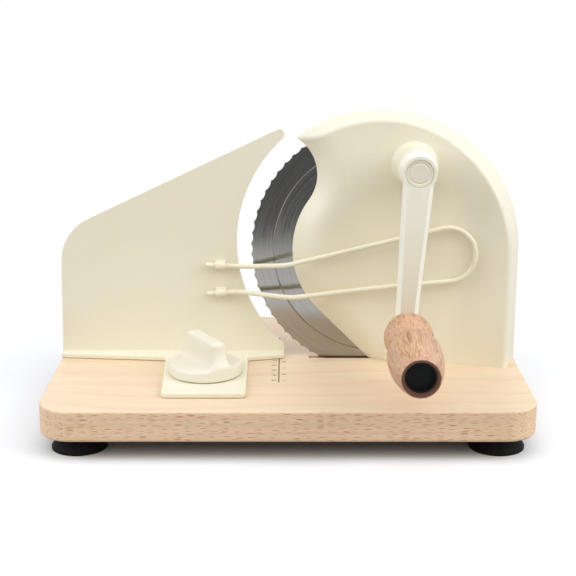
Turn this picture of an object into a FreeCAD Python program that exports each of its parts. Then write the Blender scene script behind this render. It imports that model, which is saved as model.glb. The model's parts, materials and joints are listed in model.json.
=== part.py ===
import FreeCAD, Part
import math
import os
import Sketcher
from types import SimpleNamespace
from FreeCAD import Placement, Rotation, Vector

# Hand cranked bread slicer. Frame: X to the right along the board, Y to the back, Z up,
# origin on the table under the middle of the outer box, handle included.

drivingSizes = [
    ("board_width", 306, "base board, left to right"),
    ("board_depth", 200, "base board, front to back"),
    ("board_thickness", 20, "base board"),
    ("board_corner", 21, "base board, plan corner radius"),
    ("board_top_round", 1.5, "base board, rounding of the top edge"),
    ("board_bottom_round", 2, "base board, rounding of the bottom edge"),
    ("foot_height", 12, "suction foot, table to board"),
    ("foot_radius", 17.3, "suction foot, at its lip"),
    ("foot_neck_radius", 12.5, "suction foot, under the board"),
    ("foot_inset_side", 23, "foot centre to the board's side"),
    ("foot_inset_front", 25, "foot centre to the board's front or back"),
    ("foot_cup_depth", 3, "suction foot, height of the hollow"),
    ("foot_lip", 1.6, "suction foot, width of the lip on the table"),
    ("wood_screw_radius", 1.9, "foot screw, thread"),
    ("wood_screw_head", 4, "foot screw, head radius"),
    ("wood_screw_length", 16, "foot screw, under the head"),
    ("blade_radius", 85, "blade, over the tooth tips"),
    ("blade_thickness", 1.2, "blade, inside the grind"),
    ("blade_edge", 0.5, "blade, thickness left at the edge"),
    ("blade_grind_radius", 70, "blade, where the grind starts"),
    ("blade_teeth", 72, "blade, number of teeth"),
    ("blade_scallop", 1, "blade, depth between two teeth"),
    ("blade_sink", 9.7, "blade, teeth below the board's top"),
    ("blade_setback", 104, "blade, behind the board's front"),
    ("blade_slot_spare", 1, "slot in the board, past the housing's recess at each end"),
    ("blade_slot_width", 4.8, "slot in the board"),
    ("blade_slot_floor", 3.3, "slot in the board, below the blade"),
    ("blade_gap", 0.5, "blade to the housing's web"),
    ("tip_gap", 3, "tooth tips to the housing's rim"),
    ("rim_wall", 4, "housing, outer wall"),
    ("rim_back", 4, "housing, rim behind the web"),
    ("front_wall", 3, "housing, front wall"),
    ("edge_lip", 5, "housing, flat land behind the ramp"),
    ("floor_wall", 11, "housing, solid foot above the board"),
    ("housing_inset", 0.5, "housing, in from the board's right side"),
    ("rim_slope", 0.38, "housing, inward run of the rim for each mm forward"),
    ("ramp_slope", 1.15, "housing, run of the ramp for each mm forward"),
    ("ramp_inset", 27.5, "housing, tooth tips to the left edge around the blade axis"),
    ("notch_radius", 28, "housing, hollow of the left edge"),
    ("notch_drop", 35, "housing, hollow of the left edge below the top of the blade"),
    ("edge_angle", 45, "housing, lower left edge to the board, degrees"),
    ("face_depth", 9.7, "housing, web to the flat part of the face"),
    ("face_bend", 10.5, "housing, left of the blade axis, where the face starts to bend"),
    ("face_radius", 328, "housing, bend of the face"),
    ("face_blend", 18, "housing, rounding of the ramp into the face"),
    ("rim_round", 3, "housing, rounding of the front rim"),
    ("core_step", 1, "housing, cavity wider than the blade recess"),
    ("crank_inset", 22.75, "crank axis, inside the tooth tips"),
    ("gear_teeth", 54, "blade gear"),
    ("pinion_teeth", 29, "drive pinion"),
    ("gear_pressure_angle", 20, "gears, pressure angle, degrees"),
    ("gear_backlash", 0.3, "gears, play along the pitch circle"),
    ("gear_width", 6, "blade gear, face width"),
    ("gear_gap", 0.3, "blade gear, rim in front of the web"),
    ("pinion_width", 4.2, "drive pinion, face width"),
    ("crank_angle", 70.5, "crank axis seen from the blade axis, degrees"),
    ("axle_radius", 6, "blade axle"),
    ("axle_depth", 8.2, "blade axle, web to its blind end"),
    ("axle_boss_radius", 11, "housing, boss for the blade axle"),
    ("axle_boss_depth", 4.5, "housing, web to the boss for the blade axle"),
    ("spigot_radius", 10, "blade gear, spigot in the blade"),
    ("gear_pad_radius", 30, "blade gear, pad on the blade"),
    ("drive_pin_radius", 2.5, "blade gear, pegs in the blade"),
    ("drive_pin_circle", 22, "blade gear, pegs from the axis"),
    ("bolt_head_radius", 16, "blade bolt, low head"),
    ("bolt_head_height", 2.2, "blade bolt, low head"),
    ("bolt_thread_radius", 3, "blade bolt, thread"),
    ("bolt_thread_length", 7, "blade bolt, thread"),
    ("bolt_slot_width", 2.4, "blade bolt, slot for a coin"),
    ("bolt_slot_length", 20.8, "blade bolt, slot for a coin"),
    ("bolt_slot_floor", 0.9, "blade bolt, head left under the slot"),
    ("running_fit", 0.05, "shaft in its bearing, radial"),
    ("press_fit_gap", 0.02, "pressed or screwed pieces, radial"),
    ("face_gap", 0.3, "faces that turn against each other"),
    ("boss_reach", 32.9, "housing, web to the front of the crank boss"),
    ("boss_base_radius", 13.5, "crank boss, at the housing"),
    ("boss_front_radius", 12.6, "crank boss, front"),
    ("boss_blend", 2, "crank boss, rounding into the face"),
    ("bush_radius", 9, "crank bush, outside"),
    ("bush_flange_radius", 11.5, "crank bush, flange"),
    ("bush_flange", 1.1, "crank bush, flange thickness"),
    ("bush_seat_depth", 7, "housing, web to the seat of the bush"),
    ("bush_seat_radius", 13, "housing, seat of the bush"),
    ("shaft_radius", 6, "crank shaft"),
    ("shaft_square", 9, "crank shaft, square end"),
    ("shaft_square_length", 5.5, "crank shaft, square end"),
    ("clip_thickness", 0.6, "shaft clip"),
    ("clip_radius", 8.4, "shaft clip"),
    ("clip_groove", 0.7, "shaft clip, depth of its groove"),
    ("washer_thickness", 1, "crank washer and handle washer"),
    ("arm_hub_depth", 11.7, "crank arm, hub front to back"),
    ("arm_hub_radius", 10.8, "crank arm, hub at the front"),
    ("arm_hub_back_radius", 12.3, "crank arm, hub at the back"),
    ("arm_thickness", 5.8, "crank arm, blade of the arm"),
    ("arm_width_top", 19.4, "crank arm, at the hub"),
    ("arm_width_bottom", 13.4, "crank arm, at the handle"),
    ("arm_bevel", 2.6, "crank arm, bevel of its long edges"),
    ("arm_eye_radius", 8, "crank arm, eye for the handle"),
    ("crank_radius", 99.7, "crank axis to handle axis"),
    ("crank_lean_angle", 3.6, "crank arm, rest position, degrees from plumb"),
    ("cap_radius", 8.9, "crank cap"),
    ("cap_thickness", 1.6, "crank cap"),
    ("cap_recess", 0.6, "crank cap, behind the hub's front"),
    ("cap_edge", 0.5, "crank cap, bevel of its edge and depth of its ring groove"),
    ("cap_ring_radius", 6.4, "crank cap, middle of its ring groove"),
    ("cap_ring_width", 1.4, "crank cap, ring groove at its mouth"),
    ("hub_screw_radius", 2.5, "crank screw, thread"),
    ("hub_screw_head", 4.4, "crank screw, head radius"),
    ("hub_screw_head_height", 2, "crank screw, head height"),
    ("hub_web", 1.7, "crank arm, web under the crank screw"),
    ("hub_screw_length", 12, "crank screw, under the head"),
    ("grip_length", 95, "handle, along its axis"),
    ("grip_collar_radius", 8.6, "handle, back end"),
    ("grip_ball_radius", 15.4, "handle, ball next to the arm"),
    ("grip_ball_at", 17.7, "handle, back end to the ball"),
    ("grip_ball_curve", 20, "handle, curve from the collar to the ball"),
    ("grip_neck_radius", 11.5, "handle, neck"),
    ("grip_neck_at", 35.5, "handle, back end to the neck"),
    ("grip_neck_curve", 10, "handle, curve of the neck"),
    ("grip_bulb_radius", 16.6, "handle, bulb"),
    ("grip_bulb_at", 60, "handle, back end to the bulb"),
    ("grip_end_radius", 11.6, "handle, front end"),
    ("grip_end_face", 0.9, "handle, flat ring on the front end"),
    ("grip_bore", 4, "handle pin, shank radius"),
    ("grip_recess_radius", 9, "handle, recess in the front end"),
    ("grip_recess_depth", 12, "handle, recess in the front end"),
    ("grip_bevel", 2.4, "handle, bevel into the recess"),
    ("pin_head_radius", 6.5, "handle pin, head"),
    ("pin_head_length", 4, "handle pin, head"),
    ("handle_cap_inset", 5.4, "handle cap, its floor behind the front end"),
    ("handle_cap_thickness", 1.6, "handle cap, floor"),
    ("handle_cap_wall", 0.9, "handle cap, wall around its floor"),
    ("plate_behind_blade", 2.8, "stop plate, front face behind the blade's middle, when closed"),
    ("plate_thickness", 2, "stop plate"),
    ("plate_inset", 0.2, "stop plate, in from the board's left side"),
    ("plate_lean", 2.2, "stop plate, inward lean of the left edge"),
    ("plate_left_height", 86, "stop plate, left edge up to the slanted edge"),
    ("plate_left_round", 33, "stop plate, upper left corner"),
    ("plate_tip_land", 6.8, "stop plate, upright edge between the hollow edge and the highest corner"),
    ("plate_to_blade", 63, "stop plate, right edge left of the blade axis"),
    ("plate_tip_round", 3, "stop plate, highest corner"),
    ("plate_arc_gap", 10, "stop plate, hollow edge outside the tooth tips"),
    ("plate_arc_offset", 0.5, "stop plate, centre of the hollow edge right of the blade axis"),
    ("plate_arc_lift", 3.2, "stop plate, centre of the hollow edge above the blade axis"),
    ("flange_thickness", 3.5, "stop plate, flange on the board and tab under the knob"),
    ("flange_left", 5.5, "stop plate, flange depth at the left end"),
    ("flange_mid_left", 12.2, "stop plate, flange depth left of the tab"),
    ("flange_mid_right", 12.8, "stop plate, flange depth right of the tab"),
    ("flange_right", 7, "stop plate, flange depth at the right end"),
    ("flange_hollow", 2.5, "stop plate, inner corners between flange and tab"),
    ("flange_edge", 1.2, "stop plate, rounding of the top edge of flange and tab"),
    ("flange_foot_edge", 0.8, "stop plate, rounding of the bottom edge of flange and tab"),
    ("tab_reach", 84.3, "stop plate, tab in front of the plate"),
    ("tab_left", 29.3, "tab, left edge from the knob, at the plate"),
    ("tab_front_left", 25.5, "tab, left edge from the knob, at the front"),
    ("tab_right", 26.2, "tab, right edge from the knob, at the plate"),
    ("tab_front_right", 27, "tab, right edge from the knob, at the front"),
    ("tab_corner", 4, "tab, corner radius"),
    ("board_gap", 0.2, "stop plate to the board"),
    ("travel", 18, "stop plate, forward travel"),
    ("knob_to_blade", 113.5, "knob, left of the blade axis"),
    ("knob_setback", 62, "knob, behind the board's front"),
    ("knob_radius", 23.9, "knob, skirt"),
    ("knob_skirt", 6.6, "knob, height of the skirt"),
    ("knob_crown", 7.4, "knob, height of the skirt beside the grip"),
    ("knob_shoulder", 8.6, "knob, height where its side turns inwards"),
    ("knob_taper", 1, "knob, side narrower at that height"),
    ("knob_height", 24, "knob, to the top of the grip"),
    ("knob_top_radius", 18.6, "knob, ends of the grip at its top"),
    ("knob_side_curve", 24, "knob, hollow curve of the grip's ends"),
    ("knob_grip_width", 9.2, "knob, grip at the top"),
    ("knob_foot_width", 11.2, "knob, grip at its foot"),
    ("knob_hollow", 4.5, "knob, hollow between grip and skirt"),
    ("knob_top_round", 2, "knob, rounding of the grip's top"),
    ("knob_turn_angle", 58, "knob, grip from the board's length, degrees"),
    ("clamp_radius", 3, "clamp bolt, thread"),
    ("clamp_head_radius", 6.5, "clamp bolt, head"),
    ("clamp_head_height", 3.4, "clamp bolt, head"),
    ("insert_radius", 4.2, "knob insert"),
    ("insert_length", 12, "knob insert"),
    ("slide_width", 20, "clamp slide, left to right"),
    ("slide_length", 26, "clamp slide, front to back"),
    ("slide_thickness", 3, "clamp slide"),
    ("slot_width", 6.8, "guide slot in the board"),
    ("slot_play", 0.3, "guide slot, sinks and screw holes, clear of what is in them"),
    ("slot_ceiling", 11, "board left above the clamp slide"),
    ("tongue_length", 30, "stop plate, tongue in the guide slot"),
    ("tongue_depth", 4, "stop plate, tongue in the guide slot"),
    ("tongue_back", 24, "stop plate, tongue behind the knob"),
    ("slot_end_room", 1.5, "guide slot, past the travel"),
    ("housing_screw_radius", 2.5, "housing screw, thread"),
    ("housing_screw_head", 4.5, "housing screw, head radius"),
    ("housing_screw_head_height", 3, "housing screw, head"),
    ("housing_screw_grip", 8.5, "housing screw, thread in the housing"),
    ("housing_screw_recess", 6, "board, counterbore for the housing screws"),
    ("housing_washer_radius", 6, "washer under a housing screw"),
    ("housing_screw_first", 21, "housing screws, right of the blade axis"),
    ("housing_screw_pitch", 29, "housing screws, one to the next"),
    ("housing_screw_depth", 5, "housing screws, in front of the web"),
    ("wire_radius", 1.6, "deflector wire"),
    ("wire_eye_width", 6.6, "eye for the wire, along the wire"),
    ("wire_eye_wall", 1.1, "eye for the wire, around the wire"),
    ("wire_eye_from_end", 9.2, "eye for the wire, middle to the wire's end"),
]

# Corners of the deflector wire from its upper end round to its lower end: right of the blade
# axis, in front of the stop plate, above the board, and the radius of the bend.
wireCorners = [
    ("upper_end", -114.7, 4, 64.7, 0),
    ("upper_knee", -90.5, 4, 63.6, 30),
    ("upper_dip", -61.5, 17.4, 67.6, 30),
    ("crown", 49.5, 22.4, 96, 17.3),
    ("end_top", 63.7, 24, 79.8, 17.3),
    ("end_low", 55.7, 24, 59.7, 17.3),
    ("lower_belly", 9.5, 19.6, 54.4, 60),
    ("lower_dip", -58.5, 17, 45.6, 30),
    ("lower_knee", -93, 4, 46.2, 30),
    ("lower_end", -114.4, 4, 44.9, 0),
]
wireMeasures = ("across", "forward", "rise", "bend")
for name, *numbers in wireCorners:
    for measure, number in zip(wireMeasures, numbers):
        drivingSizes.append((f"wire_{name}_{measure}", number, f"deflector wire, {name.replace('_', ' ')}"))


class Size:
    """A number together with its formula in the sheet, so that sums keep both."""

    def __init__(self, number, text=None):
        self.number = float(number)
        self.text = repr(self.number) if text is None else text

    def __float__(self):
        return self.number

    def __add__(self, other):
        other = size(other)
        return Size(self.number + other.number, f"({self.text} + {other.text})")

    def __sub__(self, other):
        other = size(other)
        return Size(self.number - other.number, f"({self.text} - {other.text})")

    def __mul__(self, other):
        other = size(other)
        return Size(self.number * other.number, f"({self.text} * {other.text})")

    def __truediv__(self, other):
        other = size(other)
        return Size(self.number / other.number, f"({self.text} / {other.text})")

    def __radd__(self, other):
        return size(other) + self

    def __rsub__(self, other):
        return size(other) - self

    def __rmul__(self, other):
        return size(other) * self

    def __rtruediv__(self, other):
        return size(other) / self

    def __neg__(self):
        return Size(-self.number, f"(0 - {self.text})")


def size(value):
    return value if isinstance(value, Size) else Size(value)


def sine(angle):
    return Size(math.sin(math.radians(float(angle))), f"sin({size(angle).text} * 1 deg)")


def cosine(angle):
    return Size(math.cos(math.radians(float(angle))), f"cos({size(angle).text} * 1 deg)")


def root(value):
    return Size(math.sqrt(float(value)), f"sqrt({value.text})")


document = FreeCAD.newDocument("bread_slicer")
sheet = document.addObject("Spreadsheet::Sheet", "Sizes")
given = SimpleNamespace()
for row, (alias, number, note) in enumerate(drivingSizes, start=1):
    sheet.set(f"A{row}", note)
    sheet.set(f"B{row}", str(number))
    sheet.setAlias(f"B{row}", alias)
    setattr(given, alias, Size(number, f"Sizes.{alias}"))
document.recompute()
nodes = []

# ---- heights and setbacks that several pieces share ----

boardTop = given.foot_height + given.board_thickness
recessRadius = given.blade_radius + given.tip_gap
housingRadius = recessRadius + given.rim_wall
bladeX = given.board_width / 2 - given.housing_inset - housingRadius
webSetback = given.blade_setback - given.blade_thickness / 2 - given.blade_gap
bossSetback = webSetback - given.boss_reach
hubBackSetback = bossSetback - given.face_gap - given.washer_thickness
hubFrontSetback = hubBackSetback - given.arm_hub_depth
gripBackSetback = hubFrontSetback - given.washer_thickness - given.face_gap
handleReach = given.grip_length - gripBackSetback
boardFront = (handleReach - given.board_depth) / 2
webY = boardFront + webSetback
bladeY = boardFront + given.blade_setback
bladeRise = given.blade_radius - given.blade_sink
bladeZ = boardTop + bladeRise
gearDistance = given.blade_radius - given.crank_inset
gearModule = gearDistance * 2 / (given.gear_teeth + given.pinion_teeth)
crankX = bladeX + gearDistance * cosine(given.crank_angle)
crankZ = bladeZ + gearDistance * sine(given.crank_angle)
hubFrontY = boardFront + hubFrontSetback
hubBackY = boardFront + hubBackSetback
gripBackY = boardFront + gripBackSetback
handleX = crankX - given.crank_radius * sine(given.crank_lean_angle)
handleZ = crankZ - given.crank_radius * cosine(given.crank_lean_angle)
plateY = bladeY + given.plate_behind_blade
knobX = bladeX - given.knob_to_blade
knobY = boardFront + given.knob_setback
bladeAxis, crankAxis, handleAxis = (bladeX, bladeZ), (crankX, crankZ), (handleX, handleZ)
boreRadius = given.axle_radius + given.running_fit
footScrewSeat = given.foot_cup_depth + given.wood_screw_head


# ---- helpers ----

def bind(thing, path, value):
    thing.setExpression(path, size(value).text)


def place(thing, x=0, y=0, z=0):
    bind(thing, ".Placement.Base.x", x)
    bind(thing, ".Placement.Base.y", y)
    bind(thing, ".Placement.Base.z", z)
    return thing


def node(thing):
    nodes.append(thing)
    return thing


turnTo = {
    "up": Rotation(),
    "front": Rotation(Vector(1, 0, 0), 90),
    "back": Rotation(Vector(1, 0, 0), -90),
}


def primitive(kind, name, measures, x, y, z, towards="up"):
    """A Part primitive whose measures and place are bound to the sheet."""
    thing = document.addObject(kind, name)
    for measure, value in measures.items():
        bind(thing, measure, value)
    turn = towards if isinstance(towards, Rotation) else turnTo[towards]
    thing.Placement = Placement(Vector(), turn)
    return place(thing, x, y, z)


def rod(name, radius, length, x, y, z, towards="up"):
    return primitive("Part::Cylinder", name, {"Radius": radius, "Height": length}, x, y, z, towards)


def rodOn(axis, name, radius, length, y, towards):
    """A rod along the blade's, the crank's or the handle's axis, from y to the front or the back."""
    return rod(name, radius, length, axis[0], y, axis[1], towards)


def block(name, width, depth, height, x, y, z):
    """A box centred on x and y, standing on z."""
    measures = {"Length": width, "Width": depth, "Height": height}
    return primitive("Part::Box", name, measures, x - width / 2, y - depth / 2, z)


def fuse(name, pieces):
    thing = document.addObject("Part::MultiFuse", name)
    thing.Shapes = pieces
    return thing


def cut(name, base, tools):
    thing = document.addObject("Part::Cut", name)
    thing.Base = base
    thing.Tool = tools[0] if len(tools) == 1 else fuse(name + "_tools", tools)
    return thing


def group(name, pieces):
    thing = document.addObject("Part::Compound", name)
    thing.Links = pieces
    return thing


def slotCutter(name, width, length, height, x, y, z):
    """A slot along Y with round ends; length runs over the ends."""
    straight = length - width
    ends = [rod(f"{name}_end_{side}", width / 2, height, x, y + straight * side / 2, z) for side in (-1, 1)]
    return fuse(name, [block(name + "_middle", width, straight, height, x, y, z)] + ends)


def newBody(name, x=0, y=0, z=0):
    return place(document.addObject("PartDesign::Body", name), x, y, z)


def planeOf(body, role):
    return next(feature for feature in body.Origin.OriginFeatures if feature.Role == role)


def newSketch(body, name, role="XY_Plane", lift=0):
    sketch = body.newObject("Sketcher::SketchObject", name)
    sketch.AttachmentSupport = (planeOf(body, role), [""])
    sketch.MapMode = "FlatFace"
    bind(sketch, ".AttachmentOffset.Base.z", lift)
    return sketch


def constrain(sketch, kind, *entries):
    """Adds a constraint; a Size as its last entry is bound to the sheet."""
    *places, value = entries
    if not isinstance(value, Size):
        return sketch.addConstraint(Sketcher.Constraint(kind, *entries))
    number = math.radians(float(value)) if kind == "Angle" else float(value)
    index = sketch.addConstraint(Sketcher.Constraint(kind, *places, number))
    unit = " * 1 deg" if kind == "Angle" else ""
    sketch.setExpression(f"Constraints[{index}]", value.text + unit)
    return index


def pin(sketch, geometry, end, x, y):
    """Fixes a point of the sketch at x and y from its origin."""
    constrain(sketch, "DistanceX", -1, 1, geometry, end, size(x))
    constrain(sketch, "DistanceY", -1, 1, geometry, end, size(y))


def arcBetween(start, end, radius, side):
    """The shorter arc from start to end, its centre to the left (side 1) or right (-1)."""
    middle = (start + end) * 0.5
    half = (end - start).Length / 2
    along = (end - start).normalize()
    left = Vector(-along.y, along.x, 0)
    centre = middle + left * side * math.sqrt(max(radius ** 2 - half ** 2, 0))
    first, last = (start, end) if side > 0 else (end, start)
    angles = [math.atan2(point.y - centre.y, point.x - centre.x) for point in (first, last)]
    return Part.ArcOfCircle(Part.Circle(centre, Vector(0, 0, 1), radius), *angles)


def draw(sketch, corners):
    """A closed outline. A corner is (x, y), or (x, y, radius, side) where an arc leads on from it."""
    points = [Vector(float(corner[0]), float(corner[1]), 0) for corner in corners]
    ends = []
    for index, corner in enumerate(corners):
        start, end = points[index], points[(index + 1) % len(points)]
        if len(corner) == 2:
            sketch.addGeometry(Part.LineSegment(start, end), False)
            ends.append((1, 2))
        else:
            sketch.addGeometry(arcBetween(start, end, float(corner[2]), corner[3]), False)
            ends.append((1, 2) if corner[3] > 0 else (2, 1))
    for index, corner in enumerate(corners):
        following = (index + 1) % len(corners)
        constrain(sketch, "Coincident", index, ends[index][1], following, ends[following][0])
        pin(sketch, index, ends[index][0], corner[0], corner[1])
        if len(corner) == 4:
            constrain(sketch, "Radius", index, size(corner[2]))
    return sketch


def drawRectangle(sketch, halfWidth, halfHeight):
    """A rectangle centred on the sketch's origin."""
    x, y = halfWidth, halfHeight
    return draw(sketch, [(-x, -y), (x, -y), (x, y), (-x, y)])


def drawCircle(sketch, x, y, radius):
    circle = Part.Circle(Vector(float(x), float(y), 0), Vector(0, 0, 1), float(radius))
    index = sketch.addGeometry(circle, False)
    pin(sketch, index, 3, x, y)
    constrain(sketch, "Radius", index, size(radius))
    return sketch


def feature(body, kind, name, profile, **settings):
    """A PartDesign feature on a profile; Size settings are bound to the sheet."""
    thing = body.newObject("PartDesign::" + kind, name)
    thing.Profile = profile
    for setting, value in settings.items():
        if isinstance(value, Size):
            bind(thing, setting, value)
        else:
            setattr(thing, setting, value)
    return thing


def turned(name, profile, role="XZ_Plane", x=0, y=0, z=0):
    """A turned piece: profile of (radius, height) about Z, or about Y on the XY_Plane."""
    body = newBody(name, x, y, z)
    sketch = draw(newSketch(body, name + "_profile", role), profile)
    feature(body, "Revolution", name + "_turning", sketch, ReferenceAxis=(sketch, ["V_Axis"]), Angle=360.0)
    return body


def dress(body, kind, name, radius, wanted):
    """A fillet or chamfer on the edges of the body's last feature that wanted() picks."""
    document.recompute()
    base = body.Tip
    edges = [f"Edge{i}" for i, edge in enumerate(base.Shape.Edges, start=1) if wanted(edge)]
    if not edges:
        raise RuntimeError(f"{name}: no edges found")
    thing = body.newObject("PartDesign::" + kind, name)
    thing.Base = (base, edges)
    bind(thing, "Radius" if kind == "Fillet" else "Size", radius)
    document.recompute()
    return thing


def alongAxis(edge, axis):
    start, end = edge.firstVertex().Point, edge.lastVertex().Point
    return edge.Curve.TypeId == "Part::GeomLine" and abs((end - start).normalize().dot(axis)) > 0.999


def flatIn(edge, coordinate, level):
    box = edge.BoundBox
    low = {"x": box.XMin, "y": box.YMin, "z": box.ZMin}[coordinate]
    high = {"x": box.XMax, "y": box.YMax, "z": box.ZMax}[coordinate]
    return abs(low - level) < 0.01 and abs(high - level) < 0.01


# ---- base board: beech, with slots for the blade and the clamp ----

def housingScrewPlaces():
    y = webY - given.housing_screw_depth
    return [(bladeX + given.housing_screw_first + given.housing_screw_pitch * step, y) for step in range(3)]


def footPlaces():
    across = given.board_width / 2 - given.foot_inset_side
    front = boardFront + given.foot_inset_front
    back = boardFront + given.board_depth - given.foot_inset_front
    return {
        "front_left": (-across, front),
        "front_right": (across, front),
        "rear_left": (-across, back),
        "rear_right": (across, back),
    }


slotFront = knobY + given.tongue_back - given.tongue_length - given.travel - given.slot_end_room
slotBack = knobY + given.tongue_back + given.slot_end_room
recessFront = knobY - given.travel - given.slide_length / 2 - given.slot_end_room
recessBack = knobY + given.slide_length / 2 + given.slot_end_room


def makeBoard():
    blank = newBody("board_blank", 0, boardFront + given.board_depth / 2, given.foot_height)
    halfWidth, halfDepth = given.board_width / 2, given.board_depth / 2
    plan = drawRectangle(newSketch(blank, "board_plan"), halfWidth, halfDepth)
    feature(blank, "Pad", "board_pad", plan, Length=given.board_thickness)
    dress(blank, "Fillet", "board_corners", given.board_corner, lambda edge: alongAxis(edge, Vector(0, 0, 1)))
    top = float(given.board_thickness)
    dress(blank, "Fillet", "board_top_edge", given.board_top_round, lambda edge: flatIn(edge, "z", top))
    dress(blank, "Fillet", "board_bottom_edge", given.board_bottom_round, lambda edge: flatIn(edge, "z", 0))

    recessHalf = root(recessRadius * recessRadius - bladeRise * bladeRise)
    slotDepth = given.blade_sink + given.blade_slot_floor
    slotLength = (recessHalf + given.blade_slot_spare) * 2
    slotFloor = boardTop - slotDepth
    tools = [block("blade_slot", slotLength, given.blade_slot_width, slotDepth, bladeX, bladeY, slotFloor)]

    under = given.foot_height
    slideRoom = given.slide_width + given.slot_play * 2
    recess = given.board_thickness - given.slot_ceiling
    slotMiddle, recessMiddle = (slotFront + slotBack) / 2, (recessFront + recessBack) / 2
    slotSpan, recessSpan = slotBack - slotFront, recessBack - recessFront
    tools.append(slotCutter("guide_slot", given.slot_width, slotSpan, given.board_thickness,
                            knobX, slotMiddle, under))
    tools.append(block("slide_recess", slideRoom, recessSpan, recess, knobX, recessMiddle, under))

    for number, (x, y) in enumerate(housingScrewPlaces(), start=1):
        hole = given.housing_screw_radius + given.press_fit_gap
        sink = given.housing_washer_radius + given.slot_play
        tools.append(rod(f"housing_screw_hole_{number}", hole, given.board_thickness, x, y, under))
        tools.append(rod(f"housing_screw_sink_{number}", sink, given.housing_screw_recess, x, y, under))
    for name, (x, y) in footPlaces().items():
        radius = given.wood_screw_radius + given.press_fit_gap
        depth = given.wood_screw_length + footScrewSeat - given.foot_height
        tools.append(rod(f"foot_hole_{name}", radius, depth, x, y, under))
    node(cut("base_board", blank, tools))


# ---- feet: rubber suction cups, each held by a wood screw ----

def makeFeet():
    skirt = given.foot_radius
    lip = skirt - given.foot_lip
    hole = given.wood_screw_radius + given.press_fit_gap
    sink = given.wood_screw_head + given.slot_play
    profile = [
        (hole, footScrewSeat),
        (sink, footScrewSeat),
        (sink, given.foot_cup_depth, (skirt * skirt) / (given.foot_cup_depth * 2), -1),
        (lip, 0),
        (skirt, 0),
        (skirt, given.foot_height / 8),
        (skirt - given.foot_lip, given.foot_height / 3, given.foot_height, -1),
        (given.foot_neck_radius, given.foot_height),
        (hole, given.foot_height),
    ]
    screws = []
    for name, (x, y) in footPlaces().items():
        node(turned(f"foot_{name}", profile, x=x, y=y))
        head = rod(f"foot_screw_head_{name}", given.wood_screw_head, given.wood_screw_head / 2, x, y,
                   footScrewSeat - given.wood_screw_head / 2)
        shank = rod(f"foot_screw_shank_{name}", given.wood_screw_radius, given.wood_screw_length,
                    x, y, footScrewSeat)
        screws.append(fuse(f"foot_screw_{name}", [head, shank]))
    node(group("foot_screws", screws))


# ---- housing: one casting with a ramp on its left edge, hollow at the back ----

def faceSag(right):
    """How far the bent face lies in front of its flat part, right of the blade axis."""
    radius, bend = given.face_radius, right + given.face_bend
    return radius - root(radius * radius - bend * bend)


rampRadius = given.blade_radius - given.ramp_inset
notchRise = given.blade_radius - given.notch_drop
housingReach = given.face_depth + faceSag(housingRadius)


def drawHousingOutline(sketch, outer, inner, notch, floor):
    """Outer arc, hollow arc, arc around the blade axis, slanted edge, foot and right side."""
    outerR, innerR, notchR = float(outer), float(inner), float(notch)
    rise, low, slant = float(notchRise), float(floor), math.radians(float(given.edge_angle))
    reach = innerR + notchR
    notchCentre = Vector(-math.sqrt(reach ** 2 - rise ** 2), rise, 0)
    towardsNotch = math.atan2(notchCentre.y, notchCentre.x)
    spread = math.acos((outerR ** 2 + reach ** 2 - notchR ** 2) / (2 * outerR * reach))
    tipAngle = towardsNotch - spread
    tip = Vector(math.cos(tipAngle), math.sin(tipAngle), 0) * outerR
    joint = Vector(math.cos(towardsNotch), math.sin(towardsNotch), 0) * innerR
    leave = Vector(-math.sin(slant), -math.cos(slant), 0) * innerR
    foot = Vector(leave.x + (leave.y - low) / math.tan(slant), low, 0)
    normal = Vector(0, 0, 1)

    def arc(centre, radius, start, end):
        angles = [math.atan2(point.y - centre.y, point.x - centre.x) for point in (start, end)]
        return Part.ArcOfCircle(Part.Circle(centre, normal, radius), *angles)

    rightTop, rightLow = Vector(outerR, 0, 0), Vector(outerR, low, 0)
    rim = sketch.addGeometry(arc(Vector(), outerR, rightTop, tip), False)
    hollow = sketch.addGeometry(arc(notchCentre, notchR, joint, tip), False)
    belly = sketch.addGeometry(arc(Vector(), innerR, joint, leave), False)
    slope = sketch.addGeometry(Part.LineSegment(leave, foot), False)
    base = sketch.addGeometry(Part.LineSegment(foot, rightLow), False)
    side = sketch.addGeometry(Part.LineSegment(rightLow, rightTop), False)

    for centred, radius in ((rim, outer), (belly, inner)):
        constrain(sketch, "Coincident", centred, 3, -1, 1)
        constrain(sketch, "Radius", centred, size(radius))
    constrain(sketch, "Radius", hollow, size(notch))
    constrain(sketch, "DistanceY", -1, 1, hollow, 3, notchRise)
    constrain(sketch, "Coincident", rim, 2, hollow, 2)
    constrain(sketch, "Tangent", hollow, 1, belly, 1)
    constrain(sketch, "Tangent", belly, 2, slope, 1)
    constrain(sketch, "Angle", slope, -given.edge_angle)
    constrain(sketch, "Coincident", slope, 2, base, 1)
    constrain(sketch, "Horizontal", base)
    constrain(sketch, "DistanceY", -1, 1, base, 1, size(floor))
    constrain(sketch, "Coincident", base, 2, side, 1)
    constrain(sketch, "Tangent", side, 2, rim, 1)
    constrain(sketch, "Vertical", side)
    return sketch


def loftHousing(body, name, lift, outer, edge, floor):
    """Ruled loft from the web to its furthest reach, drafted at the rim and ramped at the edge.

    edge is how far the left edge lies inside the outer surface."""
    run = housingReach
    back = newSketch(body, name + "_back", "XZ_Plane", lift)
    front = newSketch(body, name + "_front", "XZ_Plane", run)
    drawHousingOutline(back, outer, rampRadius - edge, given.notch_radius + edge, floor)
    ramp = given.ramp_slope * run + edge
    outerFront = outer - given.rim_slope * run
    drawHousingOutline(front, outerFront, rampRadius - ramp, given.notch_radius + ramp, floor)
    feature(body, "AdditiveLoft", name, back, Sections=[front], Ruled=True)
    return back


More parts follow.
